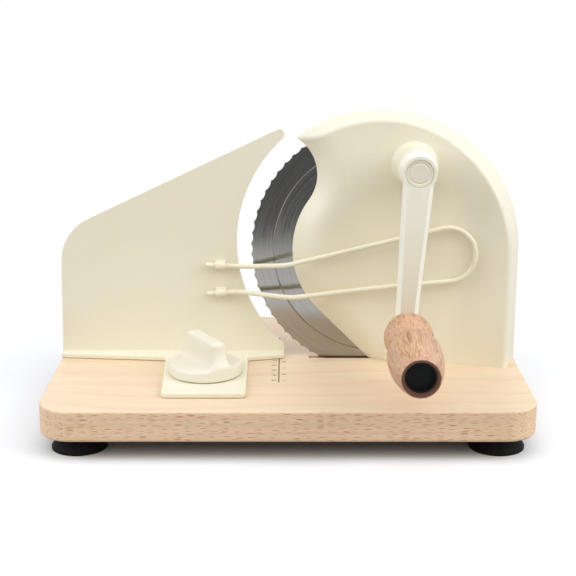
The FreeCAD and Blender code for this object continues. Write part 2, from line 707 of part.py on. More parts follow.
def cutFace(body, name, depth):
    """Takes away all that stands in front of the bent face."""
    right = housingRadius + given.rim_wall
    far = housingReach * 2
    sketch = newSketch(body, name + "_plan")
    draw(sketch, [
        (-right, -depth),
        (-given.face_bend, -depth, given.face_radius, -1),
        (right, -depth - faceSag(right)),
        (right, -far),
        (-right, -far),
    ])
    feature(body, "Pocket", name, sketch, Type="Length", SideType="Symmetric", Length=housingRadius * 4)


def makeHousing():
    foot = -bladeRise
    casting = newBody("housing_casting", bladeX, webY, bladeZ)
    outline = loftHousing(casting, "casting_loft", 0, housingRadius, 0, foot)
    feature(casting, "Pad", "casting_rim", outline, Length=given.rim_back, Reversed=True)
    cutFace(casting, "casting_face", given.face_depth)
    document.recompute()

    def bentFaceY(x):
        bend = max(x + float(given.face_bend), 0)
        radius = float(given.face_radius)
        return math.sqrt(radius ** 2 - bend ** 2) - radius - float(given.face_depth)

    def onFace(edge):
        return all(abs(point.y - bentFaceY(point.x)) < 0.02 for point in edge.discretize(5))

    rimInside = 0.9 * float(housingRadius)
    rightSide = 0.8 * float(housingRadius)

    def betweenFaceAndRamp(edge):
        middle = edge.valueAt((edge.FirstParameter + edge.LastParameter) / 2)
        insideRim = math.hypot(middle.x, middle.z) < rimInside
        return onFace(edge) and insideRim and middle.x < 0 and not alongAxis(edge, Vector(0, 0, 1))

    def betweenFaceAndRim(edge):
        middle = edge.valueAt((edge.FirstParameter + edge.LastParameter) / 2)
        atRim = math.hypot(middle.x, middle.z) > rimInside or middle.x > rightSide
        return onFace(edge) and atRim and middle.z > float(foot) + 1

    dress(casting, "Fillet", "casting_ramp_blend", given.face_blend, betweenFaceAndRamp)
    dress(casting, "Fillet", "casting_rim_round", given.rim_round, betweenFaceAndRim)
    reachX = gearDistance * cosine(given.crank_angle)
    reachZ = gearDistance * sine(given.crank_angle)
    boss = casting.newObject("PartDesign::AdditiveCone", "casting_boss")
    boss.AttachmentSupport = (planeOf(casting, "XZ_Plane"), [""])
    boss.MapMode = "FlatFace"
    bind(boss, "Radius1", given.boss_base_radius)
    bind(boss, "Radius2", given.boss_front_radius)
    bind(boss, "Height", given.boss_reach - given.face_depth + given.front_wall)
    bind(boss, ".AttachmentOffset.Base.x", reachX)
    bind(boss, ".AttachmentOffset.Base.y", reachZ)
    bind(boss, ".AttachmentOffset.Base.z", given.face_depth - given.front_wall)

    def aroundBoss(edge):
        away = [math.hypot(point.x - float(reachX), point.z - float(reachZ)) for point in edge.discretize(6)]
        radius = float(given.boss_base_radius)
        inFront = edge.BoundBox.YMax < -float(given.face_depth)
        return radius - 1 < min(away) and max(away) < radius + 0.1 and inFront

    dress(casting, "Fillet", "casting_boss_blend", given.boss_blend, aroundBoss)

    recess = drawCircle(newSketch(casting, "blade_recess_circle", "XZ_Plane"), 0, 0, recessRadius)
    feature(casting, "Pocket", "blade_recess", recess, Type="Length", Length=given.rim_back)

    core = newBody("housing_core", bladeX, webY, bladeZ)
    coreRadius = recessRadius + given.core_step
    loftHousing(core, "core_loft", 0, coreRadius, given.edge_lip, foot + given.floor_wall)
    cutFace(core, "core_face", given.face_depth - given.front_wall)
    for name, radius, depth, x, z in (
        ("axle_boss", given.axle_boss_radius, given.axle_boss_depth, size(0), size(0)),
        ("bush_seat", given.bush_seat_radius, given.bush_seat_depth, reachX, reachZ),
    ):
        sketch = drawCircle(newSketch(core, name + "_circle", "XZ_Plane", depth), x, z, radius)
        feature(core, "Pocket", name, sketch, Type="Length", Length=housingReach * 2, Reversed=True)

    tools = [core]
    tools.append(rodOn(bladeAxis, "axle_bore", given.axle_radius + given.press_fit_gap, given.axle_depth,
                       webY, "front"))
    bushBore = given.bush_radius + given.press_fit_gap
    tools.append(rodOn(crankAxis, "bush_bore", bushBore, given.boss_reach * 2, webY, "front"))
    for number, (x, y) in enumerate(housingScrewPlaces(), start=1):
        radius = given.housing_screw_radius + given.press_fit_gap
        depth = given.housing_screw_grip + given.slot_play
        tools.append(rod(f"housing_thread_{number}", radius, depth, x, y, boardTop))
    node(cut("housing", casting, tools))


def makeHousingScrews():
    seat = given.foot_height + given.housing_screw_recess
    washer = given.washer_thickness
    screws, washers = [], []
    for number, (x, y) in enumerate(housingScrewPlaces(), start=1):
        under = seat - washer
        bore = given.housing_screw_radius + given.press_fit_gap
        ring = rod(f"housing_washer_blank_{number}", given.housing_washer_radius, washer, x, y, under)
        hole = rod(f"housing_washer_hole_{number}", bore, washer, x, y, under)
        washers.append(cut(f"housing_washer_{number}", ring, [hole]))
        length = boardTop + given.housing_screw_grip - under
        shank = rod(f"housing_screw_shank_{number}", given.housing_screw_radius, length, x, y, under)
        high = given.housing_screw_head_height
        head = rod(f"housing_screw_head_{number}", given.housing_screw_head, high, x, y, under - high)
        screws.append(fuse(f"housing_screw_{number}", [head, shank]))
    node(group("housing_screws", screws))
    node(group("housing_washers", washers))


# ---- gears ----

def gearOutline(teeth, module, pressure, backlash):
    """Involute tooth outline as a wire in the XZ plane, a tooth centred on +X."""
    pitchRadius = module * teeth / 2
    baseRadius = pitchRadius * math.cos(pressure)
    tipRadius = pitchRadius + module
    rootRadius = pitchRadius - 1.25 * module
    startRadius = max(baseRadius, rootRadius + 0.05 * module)

    def involute(radius):
        angle = math.acos(min(baseRadius / radius, 1))
        return math.tan(angle) - angle

    halfTooth = (math.pi * module / 2 - backlash / 2) / 2 / pitchRadius + involute(pitchRadius)

    def point(radius, angle):
        return Vector(radius * math.cos(angle), 0, radius * math.sin(angle))

    edges = []
    pitchAngle = 2 * math.pi / teeth
    steps = 5
    radii = [startRadius + (tipRadius - startRadius) * step / steps for step in range(steps + 1)]
    for tooth in range(teeth):
        middle = tooth * pitchAngle
        rising = [point(radius, middle - halfTooth + involute(radius)) for radius in radii]
        falling = [point(radius, middle + halfTooth - involute(radius)) for radius in reversed(radii)]
        rootStart = point(rootRadius, middle - halfTooth)
        rootEnd = point(rootRadius, middle + halfTooth)
        nextRoot = point(rootRadius, middle + pitchAngle - halfTooth)
        valley = point(rootRadius, middle + pitchAngle / 2)
        for flank in (rising, falling):
            curve = Part.BSplineCurve()
            curve.interpolate(flank)
            flankEdge = curve.toShape()
            if flank is rising:
                edges.append(Part.makeLine(rootStart, rising[0]))
                edges.append(flankEdge)
                edges.append(Part.Arc(rising[-1], point(tipRadius, middle), falling[0]).toShape())
            else:
                edges.append(flankEdge)
                edges.append(Part.makeLine(falling[-1], rootEnd))
        edges.append(Part.Arc(rootEnd, valley, nextRoot).toShape())
    return Part.Wire(edges)


def toothedRing(name, teeth, width, x, y, z, turn):
    """A toothed blank whose front face is at y, turned about its axis by turn degrees."""
    pressure = math.radians(float(given.gear_pressure_angle))
    outline = gearOutline(int(float(teeth)), float(gearModule), pressure, float(given.gear_backlash))
    blank = document.addObject("Part::Feature", name)
    blank.Shape = Part.Face(outline).extrude(Vector(0, float(width), 0))
    blank.Placement = Placement(Vector(float(x), float(y), float(z)), Rotation(Vector(0, 1, 0), -float(turn)))
    return blank


# ---- blade unit: steel blade on a nylon gear that runs on a fixed axle ----

def makeBladeUnit():
    gearFrontY = webY - given.gear_gap - given.gear_width
    bladeFrontY = bladeY - given.blade_thickness / 2
    bladeBackY = bladeY + given.blade_thickness / 2
    teeth = toothedRing("blade_gear_teeth", given.gear_teeth, given.gear_width, bladeX, gearFrontY, bladeZ,
                        given.crank_angle)
    padLength = bladeFrontY - gearFrontY - given.gear_width
    pad = rodOn(bladeAxis, "blade_gear_pad", given.gear_pad_radius, padLength, bladeFrontY, "front")
    spigotLength = given.blade_thickness + padLength
    spigot = rodOn(bladeAxis, "blade_gear_spigot", given.spigot_radius, spigotLength, bladeBackY, "front")
    pieces = [teeth, pad, spigot]
    for number in range(3):
        angle = given.crank_angle + 120 * number
        x = bladeX + given.drive_pin_circle * cosine(angle)
        z = bladeZ + given.drive_pin_circle * sine(angle)
        pieces.append(rod(f"drive_peg_{number + 1}", given.drive_pin_radius, spigotLength, x, bladeBackY,
                          z, "front"))
    blank = fuse("blade_gear_blank", pieces)
    total = bladeBackY - gearFrontY
    bore = rodOn(bladeAxis, "blade_gear_bore", boreRadius, total, bladeBackY, "front")
    relief = webY - given.axle_boss_depth + given.face_gap - gearFrontY
    counter = rodOn(bladeAxis, "blade_gear_relief", given.axle_boss_radius + given.face_gap, relief,
                    gearFrontY, "back")
    node(cut("blade_gear", blank, [bore, counter]))

    blade = newBody("blade", bladeX, bladeY, bladeZ)
    disc = drawCircle(newSketch(blade, "blade_disc", "XZ_Plane"), 0, 0, given.blade_radius)
    feature(blade, "Pad", "blade_pad", disc, Length=given.blade_thickness, SideType="Symmetric")
    half = given.blade_thickness / 2
    grind = draw(newSketch(blade, "grind_profile", "XY_Plane"), [
        (given.blade_grind_radius, -half),
        (given.blade_radius, half - given.blade_edge),
        (given.blade_radius + given.blade_thickness, half - given.blade_edge),
        (given.blade_radius + given.blade_thickness, -given.blade_thickness),
        (given.blade_grind_radius, -given.blade_thickness),
    ])
    feature(blade, "Groove", "blade_grind", grind, ReferenceAxis=(grind, ["V_Axis"]), Angle=360.0)
    holes = newSketch(blade, "blade_holes", "XZ_Plane", -given.blade_thickness)
    drawCircle(holes, 0, 0, given.spigot_radius + given.press_fit_gap)
    for number in range(3):
        angle = given.crank_angle + 120 * number
        drawCircle(holes, given.drive_pin_circle * cosine(angle), given.drive_pin_circle * sine(angle),
                   given.drive_pin_radius + given.press_fit_gap)
    feature(blade, "Pocket", "blade_holes_cut", holes, Type="Length", SideType="Symmetric",
            Length=given.blade_thickness * 6)
    halfPitch = 180 / given.blade_teeth
    halfChord = given.blade_radius * sine(halfPitch)
    depth = given.blade_scallop
    scallopRadius = (halfChord * halfChord + depth * depth) / (depth * 2)
    centre = given.blade_radius * cosine(halfPitch) - depth + scallopRadius
    scallop = drawCircle(newSketch(blade, "scallop_circle", "XZ_Plane"), centre, 0, scallopRadius)
    bite = feature(blade, "Pocket", "scallop_cut", scallop, Type="Length", SideType="Symmetric",
                   Length=given.blade_thickness * 4)
    document.recompute()
    ring = blade.newObject("PartDesign::PolarPattern", "scallops")
    ring.Originals = [bite]
    ring.Axis = (scallop, ["N_Axis"])
    ring.Angle = 360
    ring.Occurrences = int(float(given.blade_teeth))
    blade.Tip = ring
    node(blade)

    pinLength = bladeBackY - (webY - given.axle_depth)
    axle = rodOn(bladeAxis, "axle_blank", given.axle_radius, pinLength, bladeBackY, "front")
    threadRadius = given.bolt_thread_radius + given.press_fit_gap
    thread = rodOn(bladeAxis, "axle_thread", threadRadius, given.bolt_thread_length + given.slot_play,
                   bladeBackY, "front")
    node(cut("blade_axle", axle, [thread]))
    seatY = bladeBackY + given.face_gap
    low = given.bolt_head_height
    head = rodOn(bladeAxis, "blade_bolt_head", given.bolt_head_radius, low, seatY, "back")
    neck = rodOn(bladeAxis, "blade_bolt_neck", given.axle_radius, given.face_gap, bladeBackY, "back")
    shank = rodOn(bladeAxis, "blade_bolt_shank", given.bolt_thread_radius, given.bolt_thread_length,
                  bladeBackY, "front")
    slotDepth, slotWidth = low - given.bolt_slot_floor, given.bolt_slot_width
    coinSlot = block("blade_bolt_slot", given.bolt_slot_length, slotDepth, slotWidth, bladeX,
                     seatY + low - slotDepth / 2, bladeZ - slotWidth / 2)
    node(cut("blade_bolt", fuse("blade_bolt_blank", [head, neck, shank]), [coinSlot]))


# ---- crank: shaft, pinion, arm and what holds them ----

def leanWithArm(thing, x, y, z):
    """Puts a body on the crank axis and leans it about that axis as the arm leans at rest."""
    thing.Placement = Placement(Vector(), Rotation(Vector(0, 1, 0), float(given.crank_lean_angle)))
    place(thing, x, y, z)
    bind(thing, ".Placement.Rotation.Angle", given.crank_lean_angle)


def makeCrank():
    shaft = given.shaft_radius
    seatY = webY - given.bush_seat_depth
    flangeBackY = seatY + given.bush_flange
    bossY = boardFront + bossSetback
    bushOuter = rodOn(crankAxis, "crank_bush_tube", given.bush_radius, seatY - bossY, seatY, "front")
    bushFlange = rodOn(crankAxis, "crank_bush_flange", given.bush_flange_radius, given.bush_flange,
                       flangeBackY, "front")
    bushBore = rodOn(crankAxis, "crank_bush_bore", shaft + given.running_fit, flangeBackY - bossY,
                     flangeBackY, "front")
    node(cut("crank_bush", fuse("crank_bush_blank", [bushOuter, bushFlange]), [bushBore]))

    pinionFrontY = flangeBackY + given.face_gap
    pinionBackY = pinionFrontY + given.pinion_width
    turn = given.crank_angle + 180 + 180 / given.pinion_teeth
    teeth = toothedRing("drive_pinion_teeth", given.pinion_teeth, given.pinion_width, crankX, pinionFrontY,
                        crankZ, turn)
    bore = rodOn(crankAxis, "drive_pinion_bore", shaft + given.press_fit_gap, given.pinion_width,
                 pinionFrontY, "back")
    node(cut("drive_pinion", teeth, [bore]))

    clipBackY = pinionBackY + given.clip_thickness
    shaftBackY = clipBackY + given.clip_thickness
    squareBackY = hubBackY
    groove = shaft - given.clip_groove
    journal = rodOn(crankAxis, "crank_shaft_journal", shaft, shaftBackY - squareBackY, shaftBackY, "front")
    squareLength = given.shaft_square_length
    squareBody = newBody("crank_shaft_square")
    half = given.shaft_square / 2
    square = drawRectangle(newSketch(squareBody, "crank_shaft_square_plan", "XZ_Plane"), half, half)
    feature(squareBody, "Pad", "crank_shaft_square_pad", square, Length=squareLength)
    leanWithArm(squareBody, crankX, squareBackY, crankZ)
    squareRound = rodOn(crankAxis, "crank_shaft_round", shaft, squareLength, squareBackY, "front")
    squareEnd = document.addObject("Part::Common", "crank_shaft_end")
    squareEnd.Base, squareEnd.Tool = squareBody, squareRound
    threadLength = given.hub_screw_length - given.hub_web + given.slot_play
    thread = rodOn(crankAxis, "crank_shaft_thread", given.hub_screw_radius + given.press_fit_gap,
                   threadLength, squareBackY - squareLength, "back")
    ringOuter = rodOn(crankAxis, "clip_groove_outer", shaft + 1, given.clip_thickness, pinionBackY, "back")
    ringInner = rodOn(crankAxis, "clip_groove_inner", groove, given.clip_thickness, pinionBackY, "back")
    grooveRing = cut("clip_groove_ring", ringOuter, [ringInner])
    node(cut("crank_shaft", fuse("crank_shaft_blank", [journal, squareEnd]), [thread, grooveRing]))
    clipRound = rodOn(crankAxis, "shaft_clip_round", given.clip_radius, given.clip_thickness, pinionBackY,
                      "back")
    clipBore = rodOn(crankAxis, "shaft_clip_bore", groove + given.press_fit_gap, given.clip_thickness,
                     pinionBackY, "back")
    clipMouth = block("shaft_clip_mouth", groove, given.clip_thickness, given.clip_radius, crankX,
                      pinionBackY + given.clip_thickness / 2, crankZ)
    node(cut("shaft_clip", clipRound, [clipBore, clipMouth]))

    washerRing = rodOn(crankAxis, "crank_washer_ring", given.arm_hub_back_radius, given.washer_thickness,
                       hubBackY + given.washer_thickness, "front")
    washerBore = rodOn(crankAxis, "crank_washer_bore", shaft + given.press_fit_gap, given.washer_thickness,
                       hubBackY + given.washer_thickness, "front")
    node(cut("crank_washer", washerRing, [washerBore]))

    makeCrankArm()
    headSeatY = hubBackY - given.shaft_square_length - given.hub_web
    high = given.hub_screw_head_height
    head = rodOn(crankAxis, "crank_screw_head", given.hub_screw_head, high, headSeatY, "front")
    shank = rodOn(crankAxis, "crank_screw_shank", given.hub_screw_radius, given.hub_screw_length,
                  headSeatY, "back")
    node(fuse("crank_screw", [head, shank]))
    rim, edge = given.cap_radius, given.cap_edge
    ring, half = given.cap_ring_radius, given.cap_ring_width / 2
    node(turned("crank_cap", [
        (0, 0),
        (ring - half, 0),
        (ring, edge),
        (ring + half, 0),
        (rim - edge, 0),
        (rim, edge),
        (rim, given.cap_thickness),
        (0, given.cap_thickness),
    ], "XY_Plane", crankX, hubFrontY + given.cap_recess, crankZ))


def makeCrankArm():
    """The arm is drawn hanging plumb from its hub and then leans about the crank axis."""
    arm = newBody("crank_arm_casting", crankX, hubFrontY, crankZ)
    down = given.crank_radius
    topHalf, lowHalf = given.arm_width_top / 2, given.arm_width_bottom / 2
    corners = [(-topHalf, 0), (-lowHalf, -down), (lowHalf, -down), (topHalf, 0)]
    bar = draw(newSketch(arm, "arm_bar", "XZ_Plane"), corners)
    feature(arm, "Pad", "arm_bar_pad", bar, Length=given.arm_thickness, Reversed=True)
    dress(arm, "Chamfer", "arm_bevels", given.arm_bevel,
          lambda edge: flatIn(edge, "y", 0) and edge.BoundBox.ZLength > float(down) * 0.5)
    hub = arm.newObject("PartDesign::AdditiveCone", "arm_hub")
    eye = arm.newObject("PartDesign::AdditiveCylinder", "arm_eye")
    for boss, drop in ((hub, size(0)), (eye, -down)):
        boss.AttachmentSupport = (planeOf(arm, "XZ_Plane"), [""])
        boss.MapMode = "FlatFace"
        bind(boss, ".AttachmentOffset.Base.y", drop)
    bind(hub, "Radius1", given.arm_hub_back_radius)
    bind(hub, "Radius2", given.arm_hub_radius)
    bind(hub, "Height", given.arm_hub_depth)
    bind(hub, ".AttachmentOffset.Base.z", -given.arm_hub_depth)
    bind(eye, "Radius", given.arm_eye_radius)
    bind(eye, "Height", given.arm_thickness)
    bind(eye, ".AttachmentOffset.Base.z", -given.arm_thickness)
    document.recompute()

    def pocket(name, radius, drop, depth):
        sketch = drawCircle(newSketch(arm, name + "_circle", "XZ_Plane"), 0, drop, radius)
        feature(arm, "Pocket", name, sketch, Type="Length", Length=depth)

    capRoom = given.cap_recess + given.cap_thickness
    headRoom = given.arm_hub_depth - given.shaft_square_length - given.hub_web
    pocket("cap_seat", given.cap_radius + given.press_fit_gap, size(0), capRoom)
    pocket("screw_head_room", given.hub_screw_head + given.slot_play, size(0), headRoom)
    pocket("screw_way", given.hub_screw_radius + given.slot_play, size(0), given.arm_hub_depth)
    pocket("handle_thread", given.grip_bore + given.press_fit_gap, -down, given.arm_thickness)
    half = given.shaft_square / 2 + given.press_fit_gap
    square = drawRectangle(newSketch(arm, "square_socket", "XZ_Plane", -given.arm_hub_depth), half, half)
    feature(arm, "Pocket", "square_socket_cut", square, Type="Length", Length=given.shaft_square_length,
            Reversed=True)
    leanWithArm(arm, crankX, hubFrontY, crankZ)
    arm.Label = "crank_arm"
    node(arm)


# ---- handle: turned wood on a steel pin ----

def curveToEnd(across, along):
    """Radius of an arc that runs along the axis at its widest point and falls by across over along."""
    return (across * across + along * along) / (across * 2)


def makeHandle():
    long = given.grip_length
    ball, neck, bulb = given.grip_ball_radius, given.grip_neck_radius, given.grip_bulb_radius
    collar, end = given.grip_collar_radius, given.grip_end_radius
    bore = given.grip_bore + given.running_fit
    recess = given.grip_recess_radius
    shoulder = given.grip_ball_curve
    inner = shoulder - ball + collar
    collarAt = given.grip_ball_at - root(shoulder * shoulder - inner * inner)
    hollow = given.grip_neck_curve

    def meet(swell, apart, side):
        """The swell's curve and the point where it runs smoothly into the neck's hollow."""
        both = curveToEnd(swell - neck, apart)
        across = neck + hollow - hollow * (both - swell + neck) / both
        return both - hollow, across, given.grip_neck_at + hollow * apart * side / both

    ballCurve, ballMeetX, ballMeetAt = meet(ball, given.grip_neck_at - given.grip_ball_at, -1)
    bulbCurve, bulbMeetX, bulbMeetAt = meet(bulb, given.grip_bulb_at - given.grip_neck_at, 1)
    taper = curveToEnd(bulb - end, long - given.grip_bulb_at)
    node(turned("handle_grip", [
        (bore, 0),
        (collar, 0),
        (collar, -collarAt, shoulder, -1),
        (ball, -given.grip_ball_at, ballCurve, -1),
        (ballMeetX, -ballMeetAt, hollow, 1),
        (bulbMeetX, -bulbMeetAt, bulbCurve, -1),
        (bulb, -given.grip_bulb_at, taper, -1),
        (end, -long),
        (recess + given.grip_end_face, -long),
        (recess, -long + given.grip_bevel),
        (recess, -long + given.grip_recess_depth),
        (bore, -long + given.grip_recess_depth),
    ], "XY_Plane", handleX, gripBackY, handleZ))

    frontY = gripBackY - long
    cupOuter = recess - given.press_fit_gap
    cupInner = cupOuter - given.handle_cap_wall
    node(turned("handle_cap", [
        (0, given.handle_cap_inset),
        (cupInner, given.handle_cap_inset),
        (cupInner, given.grip_bevel),
        (cupOuter, given.grip_bevel),
        (cupOuter, given.handle_cap_inset + given.handle_cap_thickness),
        (0, given.handle_cap_inset + given.handle_cap_thickness),
    ], "XY_Plane", handleX, frontY, handleZ))
    headBackY = frontY + given.grip_recess_depth - given.face_gap
    armBackY = hubFrontY + given.arm_thickness
    head = rodOn(handleAxis, "handle_pin_head", given.pin_head_radius, given.pin_head_length, headBackY,
                 "front")
    shank = rodOn(handleAxis, "handle_pin_shank", given.grip_bore, armBackY - headBackY, headBackY, "back")
    node(fuse("handle_pin", [head, shank]))
    ring = rodOn(handleAxis, "handle_washer_ring", given.arm_eye_radius, given.washer_thickness, hubFrontY,
                 "front")
    hole = rodOn(handleAxis, "handle_washer_hole", given.grip_bore + given.press_fit_gap,
                 given.washer_thickness, hubFrontY, "front")
    node(cut("handle_washer", ring, [hole]))


# ---- stop plate: upright plate, flange and tab in one casting, with two eyes for the wire ----

def wireRoute():
    """Corners of the wire as (x, y, z, bend radius)."""
    corners = []
    for name, *numbers in wireCorners:
        across, forward, rise, bend = [getattr(given, f"wire_{name}_{measure}") for measure in wireMeasures]
        corners.append((bladeX + across, plateY - forward, boardTop + rise, bend))
    return corners


def makeStopPlate():
    origin = (size(0), plateY, boardTop + given.board_gap)
    plate = newBody("stop_plate_upright", *origin)
    left, right = given.plate_inset - given.board_width / 2, bladeX - given.plate_to_blade
    leanLeft = left + given.plate_lean
    radius = given.blade_radius + given.plate_arc_gap
    across = given.plate_to_blade + given.plate_arc_offset
    half = root(radius * radius - across * across)
    middle = bladeRise + given.plate_arc_lift
    tipHeight = middle + half + given.plate_tip_land
    sketch = draw(newSketch(plate, "plate_outline", "XZ_Plane"), [
        (left, 0),
        (right, 0),
        (right, middle - half, radius, -1),
        (right, middle + half),
        (right, tipHeight),
        (leanLeft, given.plate_left_height),
    ])
    feature(plate, "Pad", "plate_pad", sketch, Length=given.plate_thickness, Reversed=True)

    def cornerAt(x, z):
        def wanted(edge):
            point = edge.firstVertex().Point
            near = abs(point.x - float(x)) < 0.01 and abs(point.z - float(z)) < 0.01
            return near and alongAxis(edge, Vector(0, 1, 0))
        return wanted

    shoulder = cornerAt(leanLeft, given.plate_left_height)
    dress(plate, "Fillet", "plate_shoulder", given.plate_left_round, shoulder)
    dress(plate, "Fillet", "plate_tip", given.plate_tip_round, cornerAt(right, tipHeight))

    flange = newBody("stop_plate_flange", *origin)
    leftRun = (given.tab_left - given.tab_front_left) / given.tab_reach
    rightRun = (given.tab_front_right - given.tab_right) / given.tab_reach
    cornerLeft = knobX - given.tab_left + leftRun * given.flange_mid_left
    cornerRight = knobX + given.tab_right + rightRun * given.flange_mid_right
    front = -given.tab_reach
    sketch = draw(newSketch(flange, "flange_outline"), [
        (left, 0),
        (left, -given.flange_left),
        (cornerLeft, -given.flange_mid_left),
        (knobX - given.tab_front_left, front),
        (knobX + given.tab_front_right, front),
        (cornerRight, -given.flange_mid_right),
        (right, -given.flange_right),
        (right, 0),
    ])
    feature(flange, "Pad", "flange_pad", sketch, Length=given.flange_thickness)

    def uprightAt(level, *places):
        def wanted(edge):
            box = edge.BoundBox
            here = any(abs(box.XMin - float(x)) < 0.01 for x in places) if places else True
            return here and alongAxis(edge, Vector(0, 0, 1)) and box.YMin < float(level)
        return wanted

    top = float(given.flange_thickness)
    beforePlate = -given.flange_left / 2
    dress(flange, "Fillet", "tab_corners", given.tab_corner, uprightAt(front / 2))
    hollows = uprightAt(beforePlate, cornerLeft, cornerRight)
    dress(flange, "Fillet", "flange_hollows", given.flange_hollow, hollows)
    dress(flange, "Fillet", "flange_top_edge", given.flange_edge,
          lambda edge: flatIn(edge, "z", top) and edge.BoundBox.YMin < float(beforePlate))
    dress(flange, "Fillet", "flange_bottom_edge", given.flange_foot_edge,
          lambda edge: flatIn(edge, "z", 0.0) and edge.BoundBox.YMin < float(beforePlate))

    tongueWidth = given.slot_width - given.slot_play * 2
    tongueY = knobY + given.tongue_back - given.tongue_length / 2
    tongue = slotCutter("stop_plate_tongue", tongueWidth, given.tongue_length,
                        given.tongue_depth + given.flange_thickness / 2 + given.board_gap, knobX, tongueY,
                        boardTop - given.tongue_depth)
    eyes, holes = [], []
    route = wireRoute()
    eyeRadius = given.wire_radius + given.wire_eye_wall
    for name, end, following in (("upper", route[0], route[1]), ("lower", route[-1], route[-2])):
        run, climb = following[0] - end[0], following[2] - end[2]
        run, climb = run / root(run * run + climb * climb), climb / root(run * run + climb * climb)
        along = Rotation(Vector(0, 0, 1), Vector(float(run), 0, float(climb)))
        start = given.wire_eye_from_end - given.wire_eye_width / 2
        x, y, z = end[0] + run * start, end[1], end[2] + climb * start
        eyes.append(rod(f"wire_eye_{name}", eyeRadius, given.wire_eye_width, x, y, z, along))
        deep = plateY - y
        eyes.append(block(f"wire_eye_neck_{name}", given.wire_eye_width, deep, eyeRadius * 2,
                          end[0] + given.wire_eye_from_end, plateY - deep / 2,
                          end[2] + climb * given.wire_eye_from_end - eyeRadius))
        wireBore = given.wire_radius + given.press_fit_gap
        holes.append(rod(f"wire_hole_{name}", wireBore, given.wire_eye_from_end * 2, *end[:3], along))
    boltBore = given.clamp_radius + given.press_fit_gap
    bolt = rod("tab_bolt_hole", boltBore, given.tongue_depth * 4, knobX, knobY,
               boardTop - given.tongue_depth * 2)
    blank = fuse("stop_plate_blank", [plate, flange, tongue] + eyes)
    node(cut("stop_plate", blank, holes + [bolt]))


def roundedWire(corners):
    """Straight runs joined by tangent arcs; each corner gives the radius of its bend."""
    points = [Vector(float(x), float(y), float(z)) for x, y, z, radius in corners]
    edges = []
    last = points[0]
    for index in range(1, len(points) - 1):
        before = (points[index - 1] - points[index]).normalize()
        after = (points[index + 1] - points[index]).normalize()
        turn = math.pi - before.getAngle(after)
        radius = float(corners[index][3])
        trim = radius * math.tan(turn / 2)
        start, end = points[index] + before * trim, points[index] + after * trim
        bisector = (before + after).normalize()
        middle = points[index] + bisector * (radius / math.cos(turn / 2) - radius)
        edges.append(Part.makeLine(last, start))
        edges.append(Part.Arc(start, middle, end).toShape())
        last = end
    edges.append(Part.makeLine(last, points[-1]))
    return Part.Wire(edges)


def makeDeflector():
    path = roundedWire(wireRoute())
    first = path.Edges[0]
    direction = first.tangentAt(first.FirstParameter)
    section = Part.Wire(Part.Circle(path.Vertexes[0].Point, direction, float(given.wire_radius)).toShape())
    wire = document.addObject("Part::Feature", "deflector_wire")
    wire.Shape = path.makePipeShell([section], True, True)
    node(wire)


# ---- clamp: knob with a brass insert, bolt and slide under the board ----

def makeClamp():
    tabTop = boardTop + given.board_gap + given.flange_thickness
    knobBase = tabTop + given.face_gap
    ceiling = given.foot_height + given.board_thickness - given.slot_ceiling
    slide = given.slide_thickness
    headTop = ceiling - given.board_gap - slide
    boltBore = given.clamp_radius + given.press_fit_gap
    slideBlank = block("clamp_slide_blank", given.slide_width, given.slide_length, slide, knobX, knobY,
                       headTop)
    slideHole = rod("clamp_slide_hole", boltBore, slide, knobX, knobY, headTop)
    node(cut("clamp_slide", slideBlank, [slideHole]))

    boltTop = knobBase + given.insert_length - given.face_gap
    head = rod("clamp_bolt_head", given.clamp_head_radius, given.clamp_head_height, knobX, knobY,
               headTop - given.clamp_head_height)
    shank = rod("clamp_bolt_shank", given.clamp_radius, boltTop - headTop, knobX, knobY, headTop)
    node(fuse("clamp_bolt", [head, shank]))

    long, thread = given.insert_length, given.clamp_radius + given.running_fit
    insertBlank = rod("knob_insert_blank", given.insert_radius, long, knobX, knobY, knobBase)
    insertBore = rod("knob_insert_bore", thread, long, knobX, knobY, knobBase)
    node(cut("knob_insert", insertBlank, [insertBore]))

    knob = newBody("clamp_knob", knobX, knobY, knobBase)
    rim = given.knob_radius
    bore = given.insert_radius + given.press_fit_gap
    shoulder = rim - given.knob_taper
    profile = draw(newSketch(knob, "knob_profile", "XZ_Plane"), [
        (0, 0),
        (rim, 0),
        (shoulder, given.knob_shoulder, given.knob_side_curve, -1),
        (given.knob_top_radius, given.knob_height),
        (0, given.knob_height),
    ])
    feature(knob, "Revolution", "knob_turning", profile, ReferenceAxis=(profile, ["V_Axis"]), Angle=360.0)

    halfTop, halfFoot, hollow = given.knob_grip_width / 2, given.knob_foot_width / 2, given.knob_hollow
    above = given.knob_height + hollow
    for side in (-1, 1):
        name = "knob_scoop_left" if side < 0 else "knob_scoop_right"
        scoop = draw(newSketch(knob, name + "_profile", "YZ_Plane"), [
            (halfTop * side, above),
            (halfFoot * side, given.knob_crown + hollow, hollow, side),
            ((halfFoot + hollow) * side, given.knob_crown),
            (rim * side, given.knob_skirt),
            ((rim + hollow) * side, given.knob_skirt),
            ((rim + hollow) * side, above),
        ])
        feature(knob, "Pocket", name, scoop, Type="Length", SideType="Symmetric", Length=rim * 3)

    dress(knob, "Fillet", "knob_top_edges", given.knob_top_round,
          lambda edge: flatIn(edge, "z", float(given.knob_height)))
    hole = drawCircle(newSketch(knob, "knob_bore_circle"), 0, 0, bore)
    boreDepth = given.insert_length + given.slot_play
    feature(knob, "Pocket", "knob_bore", hole, Type="Length", Length=boreDepth, Reversed=True)
    knob.Placement = Placement(Vector(), Rotation(Vector(0, 0, 1), -float(given.knob_turn_angle)))
    place(knob, knobX, knobY, knobBase)
    bind(knob, ".Placement.Rotation.Angle", -given.knob_turn_angle)
    node(knob)


